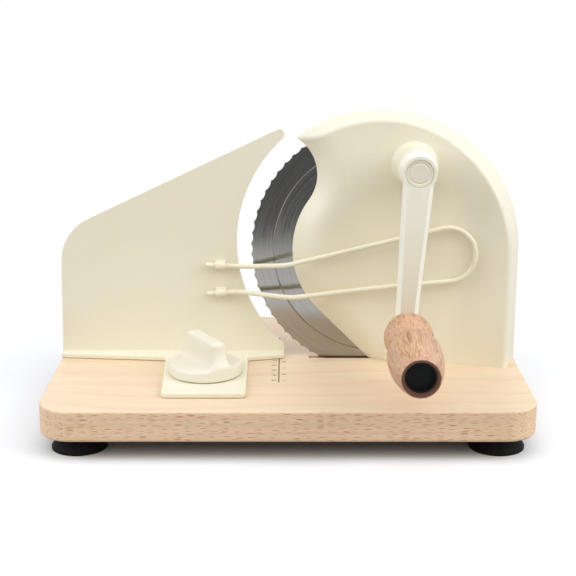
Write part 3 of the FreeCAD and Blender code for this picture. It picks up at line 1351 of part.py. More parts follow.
makeBoard()
makeFeet()
makeHousing()
makeHousingScrews()
makeBladeUnit()
makeCrank()
makeHandle()
makeStopPlate()
makeDeflector()
makeClamp()
document.recompute()

# ---- every object must be sound before anything is written ----

for thing in document.Objects:
    if {"Invalid", "Error"} & set(thing.State):
        raise RuntimeError(f"{thing.Name} failed: {thing.State}")
for thing in nodes:
    if thing.Shape.isNull() or not thing.Shape.isValid():
        raise RuntimeError(f"{thing.Label} has no sound shape")

os.makedirs("parts", exist_ok=True)
for thing in nodes:
    thing.Shape.exportStep(f"parts/{thing.Label}.step")
    print(f"{thing.Label}: {len(thing.Shape.Solids)} solids, {thing.Shape.Volume:.0f} mm3")
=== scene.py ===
import json
import math
import bmesh
import bpy
from mathutils import Matrix, Vector


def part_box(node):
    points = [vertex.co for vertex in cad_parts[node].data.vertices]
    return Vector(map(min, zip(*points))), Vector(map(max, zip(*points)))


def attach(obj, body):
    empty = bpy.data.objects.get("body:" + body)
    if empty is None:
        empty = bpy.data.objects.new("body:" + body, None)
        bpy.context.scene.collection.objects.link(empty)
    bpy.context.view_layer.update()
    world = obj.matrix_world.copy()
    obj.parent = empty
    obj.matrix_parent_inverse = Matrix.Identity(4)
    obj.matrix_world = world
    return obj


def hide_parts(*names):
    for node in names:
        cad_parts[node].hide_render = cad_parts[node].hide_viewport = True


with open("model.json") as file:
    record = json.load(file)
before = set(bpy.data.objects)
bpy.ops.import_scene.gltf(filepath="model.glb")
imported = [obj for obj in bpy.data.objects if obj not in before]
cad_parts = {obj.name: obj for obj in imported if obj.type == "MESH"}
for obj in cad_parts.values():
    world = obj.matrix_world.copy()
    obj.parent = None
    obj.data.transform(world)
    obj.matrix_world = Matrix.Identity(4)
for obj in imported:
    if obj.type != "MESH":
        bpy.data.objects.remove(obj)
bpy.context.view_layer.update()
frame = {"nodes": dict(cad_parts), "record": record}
nodes = frame["nodes"]
mm = 0.001
wavePeriod = 0.314    # metres, how far apart a wave texture of scale 1 repeats
print("frame loaded,", len(nodes), "nodes")


def linearColour(hexColour):
    # sRGB hex to the linear values that Blender works with
    channels = [int(hexColour[start:start + 2], 16) / 255 for start in (1, 3, 5)]
    return [c / 12.92 if c <= 0.04045 else ((c + 0.055) / 1.055) ** 2.4 for c in channels] + [1.0]


def addNode(tree, kind, settings=None, links=None):
    # settings are properties or inputs, "stops" a ramp's colours, and links go input: output socket
    shaderNode = tree.nodes.new("ShaderNode" + kind)
    for key, value in (settings or {}).items():
        if key == "stops":
            elements = shaderNode.color_ramp.elements
            while len(elements) < len(value):
                elements.new(0.5)
            for element, (position, colour) in zip(elements, value):
                element.position = position
                element.color = linearColour(colour)
        elif isinstance(key, str) and hasattr(shaderNode, key):
            setattr(shaderNode, key, value)
        else:
            setting = linearColour(value) if isinstance(value, str) else value
            shaderNode.inputs[key].default_value = setting
    for key, socket in (links or {}).items():
        tree.links.new(socket, shaderNode.inputs[key])
    return shaderNode


def emptyTree(owner):
    # the node tree of a material or a world, cleared
    owner.use_nodes = True
    owner.node_tree.nodes.clear()
    return owner.node_tree


def newMaterial(name, settings):
    # a material with its shader, its output and the object's own coordinates in metres
    material = bpy.data.materials.new(name)
    tree = emptyTree(material)
    shader = addNode(tree, "BsdfPrincipled", settings)
    addNode(tree, "OutputMaterial", {}, {"Surface": shader.outputs["BSDF"]})
    place = addNode(tree, "TexCoord").outputs["Object"]
    return material, tree, shader, place


def addObject(name, mesh, material, body):
    mesh.materials.clear()
    mesh.materials.append(material)
    thing = bpy.data.objects.new(name, mesh)
    bpy.context.scene.collection.objects.link(thing)
    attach(thing, body)
    return thing


def perMetre(sizeMm):
    # texture scale for a pattern whose cells are sizeMm across, one size or one for each axis
    if isinstance(sizeMm, tuple):
        return [1000 / size for size in sizeMm]
    return 1000 / sizeMm


def centreOf(node):
    low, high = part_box(node)
    return (low + high) / 2


# the board: sizes are x along the grain, y across it and z through the thickness
beech = {
    "pale": "#ebd5b5",
    "ringDark": "#e7ccab",
    "blush": "#eacdb2",
    "side": "#f3cfa8",
    "fleck": "#b3673c",
    "roughness": 0.5,
    "pithMm": (0, 45, -120),             # where the growth rings have their middle
    "ringWidthMm": 9.0,
    "wanderMm": (250, 71.43, 71.43),
    "wanderByMm": (0, 50, 20),           # how far the rings stray from round
    "cloudMm": (142.9, 25, 25),
    "fibreMm": (16.67, 0.35, 0.35),      # real ones are about 0.1 mm wide, too fine to show
    "layerMm": (200, 200, 1.5),
    "fleckMm": (5.4, 0.6, 0.42),
    "fleckBendMm": 11.11,
    "fleckBendByMm": (0, 1.2, 1.4),
    "reliefMm": 0.2,
}


def makeBeech():
    # Beech, planed and oiled: pale pinkish tan, faint growth lines along the board,
    # and short dark ray flecks that show most on the front edge.
    material, tree, shader, place = newMaterial("beechOiled", {"Roughness": beech["roughness"]})
    slow = addNode(tree, "Mapping", {"Scale": perMetre(beech["wanderMm"])}, {"Vector": place})
    wander = addNode(tree, "TexNoise", {"Scale": 1.0, "Detail": 2.0}, {"Vector": slow.outputs[0]})
    centred = addNode(tree, "VectorMath", {"operation": "SUBTRACT", 1: (0.5, 0.5, 0.5)},
                      {0: wander.outputs["Color"]})
    shift = addNode(tree, "VectorMath", {
        "operation": "MULTIPLY_ADD", 1: Vector(beech["wanderByMm"]) * mm,
    }, {0: centred.outputs[0], 2: place})
    fromPith = addNode(tree, "VectorMath", {
        "operation": "SUBTRACT", 1: Vector(beech["pithMm"]) * mm,
    }, {0: shift.outputs[0]})
    rings = addNode(tree, "TexWave", {
        "wave_type": "RINGS", "rings_direction": "X", "wave_profile": "SAW",
        "Scale": wavePeriod / (beech["ringWidthMm"] * mm),
        "Distortion": 3.5, "Detail": 3.0, "Detail Scale": 0.3,
    }, {"Vector": fromPith.outputs[0]})
    ringTone = addNode(tree, "ValToRGB", {
        "stops": [(0.0, beech["pale"]), (0.5, beech["pale"]), (1.0, beech["ringDark"])],
    }, {0: rings.outputs["Fac"]})
    cloudMap = addNode(tree, "Mapping", {"Scale": perMetre(beech["cloudMm"])}, {"Vector": place})
    cloud = addNode(tree, "TexNoise", {"Scale": 1.0, "Detail": 3.0},
                    {"Vector": cloudMap.outputs[0]})
    cloudShare = addNode(tree, "MapRange", {"From Min": 0.4, "From Max": 0.7, "To Max": 0.55},
                         {"Value": cloud.outputs["Fac"]})
    body = addNode(tree, "Mix", {"data_type": "RGBA", 7: beech["blush"]},
                   {0: cloudShare.outputs[0], 6: ringTone.outputs[0]})

    # fibres: fine streaks along the board
    fibreMap = addNode(tree, "Mapping", {"Scale": perMetre(beech["fibreMm"])}, {"Vector": place})
    fibre = addNode(tree, "TexNoise", {"Scale": 1.0, "Detail": 3.0, "Roughness": 0.6},
                    {"Vector": fibreMap.outputs[0]})
    fibreShade = addNode(tree, "MapRange", {
        "From Min": 0.3, "From Max": 0.75, "To Min": 1.04, "To Max": 0.91,
    }, {"Value": fibre.outputs["Fac"]})
    grained = addNode(tree, "VectorMath", {"operation": "SCALE"},
                      {0: body.outputs[2], "Scale": fibreShade.outputs[0]})

    # faint growth lines in the sides
    layerMap = addNode(tree, "Mapping", {"Scale": perMetre(beech["layerMm"])}, {"Vector": place})
    layer = addNode(tree, "TexNoise", {"Scale": 1.0, "Detail": 3.0},
                    {"Vector": layerMap.outputs[0]})
    layerShade = addNode(tree, "MapRange", {
        "From Min": 0.35, "From Max": 0.65, "To Min": 1.03, "To Max": 0.93,
    }, {"Value": layer.outputs["Fac"]})

    # ray flecks: one in each stretched cell, some hardly darker than the wood and some dark
    bend = addNode(tree, "TexNoise", {"Scale": perMetre(beech["fleckBendMm"]), "Detail": 2.0},
                   {"Vector": place})
    bent = addNode(tree, "VectorMath", {
        "operation": "MULTIPLY_ADD", 1: Vector(beech["fleckBendByMm"]) * mm,
    }, {0: bend.outputs["Color"], 2: place})
    fleckMap = addNode(tree, "Mapping", {"Scale": perMetre(beech["fleckMm"])},
                       {"Vector": bent.outputs[0]})
    fleckCell = addNode(tree, "TexVoronoi", {"Scale": 0.75, "Randomness": 1.0},
                        {"Vector": fleckMap.outputs[0]})
    fleckShape = addNode(tree, "MapRange", {
        "From Min": 0.46, "From Max": 0.24, "interpolation_type": "SMOOTHSTEP",
    }, {"Value": fleckCell.outputs["Distance"]})
    cellParts = addNode(tree, "SeparateColor", {}, {0: fleckCell.outputs["Color"]})
    chosen = addNode(tree, "MapRange", {
        "From Min": 0.05, "From Max": 0.95, "interpolation_type": "SMOOTHSTEP",
    }, {"Value": cellParts.outputs[0]})
    facing = addNode(tree, "SeparateXYZ", {}, {0: addNode(tree, "NewGeometry").outputs["Normal"]})
    upward = addNode(tree, "Math", {"operation": "ABSOLUTE"}, {0: facing.outputs["Z"]})
    topToSide = {"From Min": 0.9, "From Max": 0.3}    # how upward a top face and a side are
    # the flecks are end-on in the faces that look up or down, so they nearly vanish there
    sideShare = addNode(tree, "MapRange", {**topToSide, "To Min": 0.05, "To Max": 0.8},
                        {"Value": upward.outputs[0]})
    fleckAmount = addNode(tree, "Math", {"operation": "MULTIPLY"},
                          {0: fleckShape.outputs[0], 1: chosen.outputs[0]})
    fleckShare = addNode(tree, "Math", {"operation": "MULTIPLY"},
                         {0: fleckAmount.outputs[0], 1: sideShare.outputs[0]})
    # the sides are a shade redder than the face
    sideTint = addNode(tree, "MapRange", {**topToSide, "To Max": 0.7},
                       {"Value": upward.outputs[0]})
    tinted = addNode(tree, "Mix", {"data_type": "RGBA", 7: beech["side"]},
                     {0: sideTint.outputs[0], 6: grained.outputs[0]})
    layerShare = addNode(tree, "MapRange", topToSide, {"Value": upward.outputs[0]})
    layerTone = addNode(tree, "Mix", {"data_type": "FLOAT", 2: 1.0},
                        {0: layerShare.outputs[0], 3: layerShade.outputs[0]})
    layered = addNode(tree, "VectorMath", {"operation": "SCALE"},
                      {0: tinted.outputs[2], "Scale": layerTone.outputs[0]})
    flecked = addNode(tree, "Mix", {"data_type": "RGBA", 7: beech["fleck"]},
                      {0: fleckShare.outputs[0], 6: layered.outputs[0]})
    tree.links.new(flecked.outputs[2], shader.inputs["Base Color"])
    gloss = addNode(tree, "MapRange", {
        "To Min": beech["roughness"] - 0.06, "To Max": beech["roughness"] + 0.1,
    }, {"Value": fibre.outputs["Fac"]})
    tree.links.new(gloss.outputs[0], shader.inputs["Roughness"])
    relief = addNode(tree, "Math", {"operation": "SUBTRACT"},
                     {0: fibre.outputs["Fac"], 1: fleckAmount.outputs[0]})
    bump = addNode(tree, "Bump", {"Strength": 0.12, "Distance": beech["reliefMm"] * mm},
                   {"Height": relief.outputs[0]})
    tree.links.new(bump.outputs[0], shader.inputs["Normal"])
    return material


# the grip: it lies along y, and its pattern sizes are x, y and z
handleWood = {
    "light": "#dcb48a",
    "middle": "#c4926e",
    "dark": "#88503a",
    "pink": "#dab097",
    "burnt": "#66412f",
    "burntLine": "#2e1c14",
    "roughness": 0.48,
    "waverMm": 22.22,
    "waverByMm": (3.5, 0, 3.5),
    "streakMm": (2.8, 111.1, 2.4),
    "bandMm": (11, 166.7, 9),
    "lineMm": (0.9, 55.56, 0.9),
    "poreMm": (0.9, 25, 0.9),            # real ones are about 0.2 mm wide, too fine to show
    "reliefMm": 0.3,
    "burntFromAxisMm": (8.8, 11.0),      # the scorched ring around the recess, inner and outer
    "burntFadeMm": (0.5, 0.2),           # its outer edge fades this far outside and inside
    "burntDepthMm": (14.0, 13.5),        # from the front end, where it is gone and still full
}


def makeHandleWood(axisPoint, frontY):
    # Acacia, turned and waxed: streaks of tan and red-brown along the grip, open pores,
    # and a dark burnished ring around the recess.
    material, tree, shader, place = newMaterial("acaciaTurned",
                                                {"Roughness": handleWood["roughness"]})
    waver = addNode(tree, "TexNoise", {"Scale": perMetre(handleWood["waverMm"]), "Detail": 2.0},
                    {"Vector": place})
    bent = addNode(tree, "VectorMath", {
        "operation": "MULTIPLY_ADD", 1: Vector(handleWood["waverByMm"]) * mm,
    }, {0: waver.outputs["Color"], 2: place})
    streakMap = addNode(tree, "Mapping", {"Scale": perMetre(handleWood["streakMm"])},
                        {"Vector": bent.outputs[0]})
    streak = addNode(tree, "TexNoise", {"Scale": 1.0, "Detail": 6.0, "Roughness": 0.66},
                     {"Vector": streakMap.outputs[0]})
    grain = addNode(tree, "ValToRGB", {
        "stops": [(0.33, handleWood["dark"]), (0.44, handleWood["middle"]),
                  (0.54, handleWood["light"]), (0.66, handleWood["middle"])],
    }, {0: streak.outputs["Fac"]})

    # wide bands of pinker wood, and a finer set of lines between the streaks
    bandMap = addNode(tree, "Mapping", {"Scale": perMetre(handleWood["bandMm"])},
                      {"Vector": bent.outputs[0]})
    band = addNode(tree, "TexNoise", {"Scale": 1.0, "Detail": 3.0}, {"Vector": bandMap.outputs[0]})
    bandShare = addNode(tree, "MapRange", {"From Min": 0.42, "From Max": 0.62, "To Max": 0.6},
                        {"Value": band.outputs["Fac"]})
    banded = addNode(tree, "Mix", {"data_type": "RGBA", 7: handleWood["pink"]},
                     {0: bandShare.outputs[0], 6: grain.outputs[0]})
    # moved aside, so that the lines don't follow the pores
    lineMap = addNode(tree, "Mapping", {
        "Scale": perMetre(handleWood["lineMm"]), "Location": (3, 0, 5),
    }, {"Vector": bent.outputs[0]})
    line = addNode(tree, "TexNoise", {"Scale": 1.0, "Detail": 4.0, "Roughness": 0.6},
                   {"Vector": lineMap.outputs[0]})
    lineShade = addNode(tree, "MapRange", {
        "From Min": 0.35, "From Max": 0.68, "To Min": 1.07, "To Max": 0.74,
    }, {"Value": line.outputs["Fac"]})
    tone = addNode(tree, "VectorMath", {"operation": "SCALE"},
                   {0: banded.outputs[2], "Scale": lineShade.outputs[0]})
    poreMap = addNode(tree, "Mapping", {"Scale": perMetre(handleWood["poreMm"])},
                      {"Vector": bent.outputs[0]})
    pore = addNode(tree, "TexNoise", {"Scale": 1.0, "Detail": 2.0}, {"Vector": poreMap.outputs[0]})
    poreShare = addNode(tree, "MapRange", {"From Min": 0.6, "From Max": 0.74, "To Max": 0.6},
                        {"Value": pore.outputs["Fac"]})
    pored = addNode(tree, "Mix", {"data_type": "RGBA", 7: handleWood["dark"]},
                    {0: poreShare.outputs[0], 6: tone.outputs[0]})

    # the scorched ring, darkest along its two edges
    burntInner, burntOuter = handleWood["burntFromAxisMm"]
    fadeOutside, fadeInside = handleWood["burntFadeMm"]
    depthEnd, depthFull = handleWood["burntDepthMm"]
    fromAxis = addNode(tree, "VectorMath", {"operation": "SUBTRACT", 1: tuple(axisPoint)},
                       {0: place})
    parts = addNode(tree, "SeparateXYZ", {}, {0: fromAxis.outputs[0]})
    across = addNode(tree, "CombineXYZ", {}, {"X": parts.outputs["X"], "Z": parts.outputs["Z"]})
    radius = addNode(tree, "VectorMath", {"operation": "LENGTH"}, {0: across.outputs[0]})
    nearHole = addNode(tree, "MapRange", {
        "From Min": (burntOuter + fadeOutside) * mm, "From Max": (burntOuter - fadeInside) * mm,
    }, {"Value": radius.outputs["Value"]})
    allParts = addNode(tree, "SeparateXYZ", {}, {0: place})
    nearFront = addNode(tree, "MapRange", {
        "From Min": frontY + depthEnd * mm, "From Max": frontY + depthFull * mm,
    }, {"Value": allParts.outputs["Y"]})
    burnt = addNode(tree, "Math", {"operation": "MULTIPLY"},
                    {0: nearHole.outputs[0], 1: nearFront.outputs[0]})
    acrossRing = addNode(tree, "MapRange", {
        "From Min": burntInner * mm, "From Max": burntOuter * mm,
    }, {"Value": radius.outputs["Value"]})
    edgeTone = addNode(tree, "ValToRGB", {
        "stops": [(0.0, handleWood["burntLine"]), (0.25, handleWood["burnt"]),
                  (0.7, handleWood["burnt"]), (1.0, handleWood["burntLine"])],
    }, {0: acrossRing.outputs[0]})
    ringed = addNode(tree, "Mix", {"data_type": "RGBA"},
                     {0: burnt.outputs[0], 6: pored.outputs[2], 7: edgeTone.outputs[0]})
    tree.links.new(ringed.outputs[2], shader.inputs["Base Color"])
    gloss = addNode(tree, "MapRange", {
        "To Min": handleWood["roughness"] - 0.1, "To Max": handleWood["roughness"] + 0.1,
    }, {"Value": streak.outputs["Fac"]})
    tree.links.new(gloss.outputs[0], shader.inputs["Roughness"])
    height = addNode(tree, "Math", {"operation": "SUBTRACT"},
                     {0: streak.outputs["Fac"], 1: poreShare.outputs[0]})
    bump = addNode(tree, "Bump", {"Strength": 0.2, "Distance": handleWood["reliefMm"] * mm},
                   {"Height": height.outputs[0]})
    tree.links.new(bump.outputs[0], shader.inputs["Normal"])
    return material


# the cream pieces: relief is the strength of the pebbled skin
coatDriftMm = 111.1    # how wide the patches of the warmer tone are
housingCoat = {
    "base": "#ebe6d1",
    "warm": "#e8e1c7",
    "grainMm": 0.9,
    "relief": 0.22,
    "roughness": 0.42,
}
armCoat = {
    "base": "#f1eedd",
    "warm": "#f1eedd",
    "low": "#dbd6bd",                    # painted shade, darker towards the grip
    # painted highlight on the bevels
    "bevel": "#f3f1e4",
    "grainMm": 1.5,
    "relief": 0.6,
    "roughness": 0.42,
}
mouldedAbs = {
    "base": "#e7e1ce",
    "warm": "#e7e1ce",
    "grainMm": 0.6,                      # the mould's own is about 0.1 mm, too fine to show
    "relief": 0.08,
    "roughness": 0.4,
}
capAbs = {
    "base": "#e5e0cd",
    "warm": "#e5e0cd",
    "grainMm": 0.5,                      # as above
    "relief": 0.06,
    "roughness": 0.42,
}


def makeCream(name, coat):
    # Powder coat on an aluminium casting, or satin moulded ABS: an even warm cream
    # with a fine pebbled skin that breaks up the highlights.
    grainMm, roughness = coat["grainMm"], coat["roughness"]
    material, tree, shader, place = newMaterial(name, {
        "Roughness": roughness, "Specular IOR Level": 0.45,
    })
    drift = addNode(tree, "TexNoise", {"Scale": perMetre(coatDriftMm), "Detail": 2.0},
                    {"Vector": place})
    grain = addNode(tree, "TexNoise", {
        "Scale": perMetre(grainMm), "Detail": 3.0, "Roughness": 0.55,
    }, {"Vector": place})
    mottle = addNode(tree, "TexNoise", {"Scale": perMetre(grainMm * 5), "Detail": 2.0},
                     {"Vector": place})
    share = addNode(tree, "MapRange", {"From Min": 0.35, "From Max": 0.65},
                    {"Value": drift.outputs["Fac"]})
    tone = addNode(tree, "Mix", {"data_type": "RGBA", 6: coat["base"], 7: coat["warm"]},
                   {0: share.outputs[0]})
    speck = addNode(tree, "MapRange", {
        "From Min": 0.3, "From Max": 0.7, "To Min": 0.985, "To Max": 1.015,
    }, {"Value": grain.outputs["Fac"]})
    shaded = addNode(tree, "VectorMath", {"operation": "SCALE"},
                     {0: tone.outputs[2], "Scale": speck.outputs[0]})
    tree.links.new(shaded.outputs[0], shader.inputs["Base Color"])
    gloss = addNode(tree, "MapRange", {"To Min": roughness - 0.06, "To Max": roughness + 0.08},
                    {"Value": mottle.outputs["Fac"]})
    tree.links.new(gloss.outputs[0], shader.inputs["Roughness"])
    height = addNode(tree, "Math", {"operation": "MULTIPLY_ADD", 1: 0.35},
                     {0: mottle.outputs["Fac"], 2: grain.outputs["Fac"]})
    bump = addNode(tree, "Bump", {"Strength": coat["relief"], "Distance": 0.2 * mm},
                   {"Height": height.outputs[0]})
    tree.links.new(bump.outputs[0], shader.inputs["Normal"])
    return material


def makeArmCoat():
    # The same powder coat on the arm, with painted shade that makes it a little darker towards the
    # grip, and a painted highlight that makes the bevels paler, so that they draw two light lines
    # down its sides.
    material = makeCream("powderCoatArm", armCoat)
    tree = material.node_tree
    shaded = tree.nodes["Principled BSDF"].inputs["Base Color"].links[0].from_node
    place = addNode(tree, "TexCoord")
    parts = addNode(tree, "SeparateXYZ", {}, {0: place.outputs["Object"]})
    low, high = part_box("crank_arm")
    # painted shade: the arm's colour darkens from high up on the arm down to the grip end
    paintedShadeShare = addNode(tree, "MapRange", {
        "From Min": low.z + 0.7 * (high.z - low.z), "From Max": low.z,
    }, {"Value": parts.outputs["Z"]})
    face = addNode(tree, "Mix", {"data_type": "RGBA", 6: armCoat["base"], 7: armCoat["low"]},
                   {0: paintedShadeShare.outputs[0]})
    # painted highlight: faces that don't look straight forward or back, the bevels, get the paler
    # colour
    facing = addNode(tree, "SeparateXYZ", {}, {0: place.outputs["Normal"]})
    outward = addNode(tree, "Math", {"operation": "ABSOLUTE"}, {0: facing.outputs["Y"]})
    flat = addNode(tree, "MapRange", {"From Min": 0.8, "From Max": 0.97},
                   {"Value": outward.outputs[0]})
    coat = addNode(tree, "Mix", {"data_type": "RGBA", 6: armCoat["bevel"]},
                   {0: flat.outputs[0], 7: face.outputs[2]})
    tree.links.new(coat.outputs[2], shaded.inputs[0])
    return material


blade = {
    "colour": "#a9a8a4",
    "roughness": 0.14,
    "anisotropic": 0.3,
    "lineMm": 1.1,                       # real ones are about 0.3 mm, too fine to show
    "cellsPerRadian": 2.2,               # how fast a ring changes along its way round
    "grindMm": 70.0,                     # radius where the ground edge begins
    "grindStepMm": 0.6,
    "grindLineMm": 0.4,
}


def makeBladeSteel(axisPoint):
    # Stainless steel, ground in circles: fine rings around the blade's axis that
    # draw reflections out sideways.
    material, tree, shader, place = newMaterial("stainlessGround", {
        "Metallic": 1.0, "Roughness": blade["roughness"], "Anisotropic": blade["anisotropic"],
    })
    fromAxis = addNode(tree, "VectorMath", {"operation": "SUBTRACT", 1: tuple(axisPoint)},
                       {0: place})
    parts = addNode(tree, "SeparateXYZ", {}, {0: fromAxis.outputs[0]})
    across = addNode(tree, "CombineXYZ", {}, {"X": parts.outputs["X"], "Z": parts.outputs["Z"]})
    radius = addNode(tree, "VectorMath", {"operation": "LENGTH"}, {0: across.outputs[0]})
    direction = addNode(tree, "VectorMath", {"operation": "NORMALIZE"}, {0: across.outputs[0]})

    # rings: noise that runs fast along the radius and slowly around it
    around = addNode(tree, "VectorMath", {"operation": "SCALE", "Scale": blade["cellsPerRadian"]},
                     {0: direction.outputs[0]})
    along = addNode(tree, "Math", {"operation": "MULTIPLY", 1: perMetre(blade["lineMm"])},
                    {0: radius.outputs["Value"]})
    aroundParts = addNode(tree, "SeparateXYZ", {}, {0: around.outputs[0]})
    ringPlace = addNode(tree, "CombineXYZ", {}, {
        "X": aroundParts.outputs["X"], "Y": along.outputs[0], "Z": aroundParts.outputs["Z"],
    })
    lines = addNode(tree, "TexNoise", {"Scale": 1.0, "Detail": 4.0, "Roughness": 0.7},
                    {"Vector": ringPlace.outputs[0]})
    tone = addNode(tree, "MapRange", {
        "From Min": 0.3, "From Max": 0.7, "To Min": 0.88, "To Max": 1.08,
    }, {"Value": lines.outputs["Fac"]})

    # the edge of the grind: a dark line, and a small step outwards that is bright where it
    # leans up and dark where it leans down
    ridge = addNode(tree, "Math", {
        "operation": "COMPARE", 1: blade["grindMm"] * mm, 2: blade["grindLineMm"] * mm,
    }, {0: radius.outputs["Value"]})
    # the colour is made darker along a thin ring at the grind's edge
    ridgeDarkened = addNode(tree, "Math", {"operation": "MULTIPLY_ADD", 1: -0.4},
                     {0: ridge.outputs[0], 2: tone.outputs[0]})
    colour = addNode(tree, "VectorMath", {
        "operation": "SCALE", 0: tuple(linearColour(blade["colour"])[:3]),
    }, {"Scale": ridgeDarkened.outputs[0]})
    tree.links.new(colour.outputs[0], shader.inputs["Base Color"])
    gloss = addNode(tree, "MapRange", {
        "From Min": 0.3, "From Max": 0.7,
        "To Min": blade["roughness"] - 0.03, "To Max": blade["roughness"] + 0.05,
    }, {"Value": lines.outputs["Fac"]})
    tree.links.new(gloss.outputs[0], shader.inputs["Roughness"])
    step = addNode(tree, "MapRange", {
        "From Min": (blade["grindMm"] + blade["grindStepMm"]) * mm,
        "From Max": (blade["grindMm"] - blade["grindStepMm"]) * mm,
        "interpolation_type": "SMOOTHSTEP",
    }, {"Value": radius.outputs["Value"]})
    stepBump = addNode(tree, "Bump", {"Strength": 1.0, "Distance": 0.3 * mm},
                       {"Height": step.outputs[0]})
    bump = addNode(tree, "Bump", {"Strength": 0.08, "Distance": 0.1 * mm},
                   {"Height": lines.outputs["Fac"], "Normal": stepBump.outputs[0]})
    tree.links.new(bump.outputs[0], shader.inputs["Normal"])
    tangent = addNode(tree, "Tangent", {"direction_type": "RADIAL", "axis": "Y"})
    tree.links.new(tangent.outputs[0], shader.inputs["Tangent"])
    return material


# small parts by slot; their turning or moulding marks are about 0.1 mm, too fine to show,
# and grainMm is as coarse as they need to be
smallParts = {
    "steel": {    # zinc-plated: a cool grey with a soft sheen
        "name": "steelZincPlated", "tones": ("#b9bbb9", "#a5a7a6"),
        "metallic": 1.0, "roughness": 0.32, "specular": 0.5, "grainMm": 0.5, "relief": 0.1,
    },
    "nylon": {    # natural: milky, with a satin skin
        "name": "nylonNatural", "tones": ("#e9e5d8", "#ddd8c8"),
        "metallic": 0.0, "roughness": 0.42, "specular": 0.5, "grainMm": 0.6, "relief": 0.1,
    },
    "brass": {    # turned: warm yellow, fairly bright
        "name": "brassTurned", "tones": ("#c9a45c", "#b8924c"),
        "metallic": 1.0, "roughness": 0.3, "specular": 0.5, "grainMm": 0.5, "relief": 0.1,
    },
    "foot_rubber": {    # moulded: nearly black and dull
        "name": "rubberBlackMoulded", "tones": ("#0d0d0d", "#131313"),
        "metallic": 0.0, "roughness": 0.7, "specular": 0.15, "grainMm": 0.5, "relief": 0.3,
    },
    "black_plastic": {    # moulded nylon: nearly black, a little cooler
        "name": "nylonBlackMoulded", "tones": ("#0d0f11", "#141618"),
        "metallic": 0.0, "roughness": 0.6, "specular": 0.2, "grainMm": 0.7, "relief": 0.25,
    },
}


def makeSmallPart(look):
    # two close tones, with a fine grain in gloss and height
    grainMm, roughness = look["grainMm"], look["roughness"]
    material, tree, shader, place = newMaterial(look["name"], {
        "Metallic": look["metallic"], "Roughness": roughness,
        "Specular IOR Level": look["specular"],
    })
    grain = addNode(tree, "TexNoise", {"Scale": perMetre(grainMm), "Detail": 3.0},
                    {"Vector": place})
    drift = addNode(tree, "TexNoise", {"Scale": perMetre(grainMm * 8), "Detail": 2.0},
                    {"Vector": place})
    light, dark = look["tones"]
    tone = addNode(tree, "ValToRGB", {"stops": [(0.35, light), (0.65, dark)]},
                   {0: drift.outputs["Fac"]})
    tree.links.new(tone.outputs[0], shader.inputs["Base Color"])
    patchy = addNode(tree, "MapRange", {"To Min": roughness - 0.08, "To Max": roughness + 0.1},
                     {"Value": grain.outputs["Fac"]})
    tree.links.new(patchy.outputs[0], shader.inputs["Roughness"])
    bump = addNode(tree, "Bump", {"Strength": look["relief"], "Distance": 0.1 * mm},
                   {"Height": grain.outputs["Fac"]})
    tree.links.new(bump.outputs[0], shader.inputs["Normal"])
    return material


slotMaterials = {
    "beech": makeBeech(),
    "handle_wood": makeHandleWood(centreOf("handle_grip"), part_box("handle_grip")[0].y),
    "cream_casting": makeCream("powderCoatCream", housingCoat),
    "cream_plastic": makeCream("absCreamSatin", mouldedAbs),
    "blade_steel": makeBladeSteel(centreOf("blade")),
}
for slot, look in smallParts.items():
    slotMaterials[slot] = makeSmallPart(look)
for subpart in frame["record"]["subparts"]:
    node = nodes[subpart["node"]]
    node.data.materials.clear()
    node.data.materials.append(slotMaterials[subpart["material_slot"]])
# the arm has its own coat with painted shade and painted bevel highlights, and its cap is a little
# greyer than the knob
nodes["crank_arm"].data.materials[0] = makeArmCoat()
nodes["crank_cap"].data.materials[0] = makeCream("absCreamGrey", capAbs)
print("materials set:", len(slotMaterials))


clampKnob = {"joinMm": 0.001, "voxelMm": 0.6, "smoothFactor": 0.5, "smoothSteps": 40}


def makeKnob():
    # the moulded knob has soft edges all over, so its solid is remeshed and relaxed
    mesh = nodes["clamp_knob"].data.copy()
    bm = bmesh.new()
    bm.from_mesh(mesh)
    bmesh.ops.remove_doubles(bm, verts=bm.verts, dist=clampKnob["joinMm"] * mm)
    bm.to_mesh(mesh)
    bm.free()
    rough = bpy.data.objects.new("knobRough", mesh)
    bpy.context.scene.collection.objects.link(rough)
    remesh = rough.modifiers.new("remesh", "REMESH")
    remesh.mode = "VOXEL"
    remesh.voxel_size = clampKnob["voxelMm"] * mm
    relax = rough.modifiers.new("relax", "SMOOTH")
    relax.factor = clampKnob["smoothFactor"]
    relax.iterations = clampKnob["smoothSteps"]
    bpy.context.view_layer.update()
    ready = rough.evaluated_get(bpy.context.evaluated_depsgraph_get())
    smooth = bpy.data.meshes.new_from_object(ready)
    bpy.data.objects.remove(rough)
    smooth.name = "knobMoulded"
    smooth.polygons.foreach_set("use_smooth", [True] * len(smooth.polygons))
    knob = addObject("knobMoulded", smooth, slotMaterials["cream_plastic"], "knob")
    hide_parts("clamp_knob")
    print("knob softened,", len(smooth.polygons), "faces")


makeKnob()


# the scale printed on the board, in millimetres
printedScale = {
    "lineX": -5.9,
    "backY": 66.0,
    "zeroY": 26.0,                       # where the plate stands for a slice of no thickness
    "frontY": -28.0,
    "lineWidth": 0.75,
    "tickLong": 1.7,
    "tickThick": 0.6,
    "tickBold": 1.6,                     # every other tick on the right is this much larger
    "gap": 2.4,
    "topTickX": 1.0,                     # beyond the gap
    "topTickY": 2.0,                     # in from the line's rear end
    "leftStep": 10.0,                    # millimetres
    "rightStep": 12.7,                   # half inches
    "inkThick": 0.03,
    "digitHigh": 2.0,
    "ink": "#54473d",
    "inkWorn": "#a88c72",
    "wearMm": (3.333, 0.4, 1000),        # real pores are about 0.1 mm wide, too fine to show
}


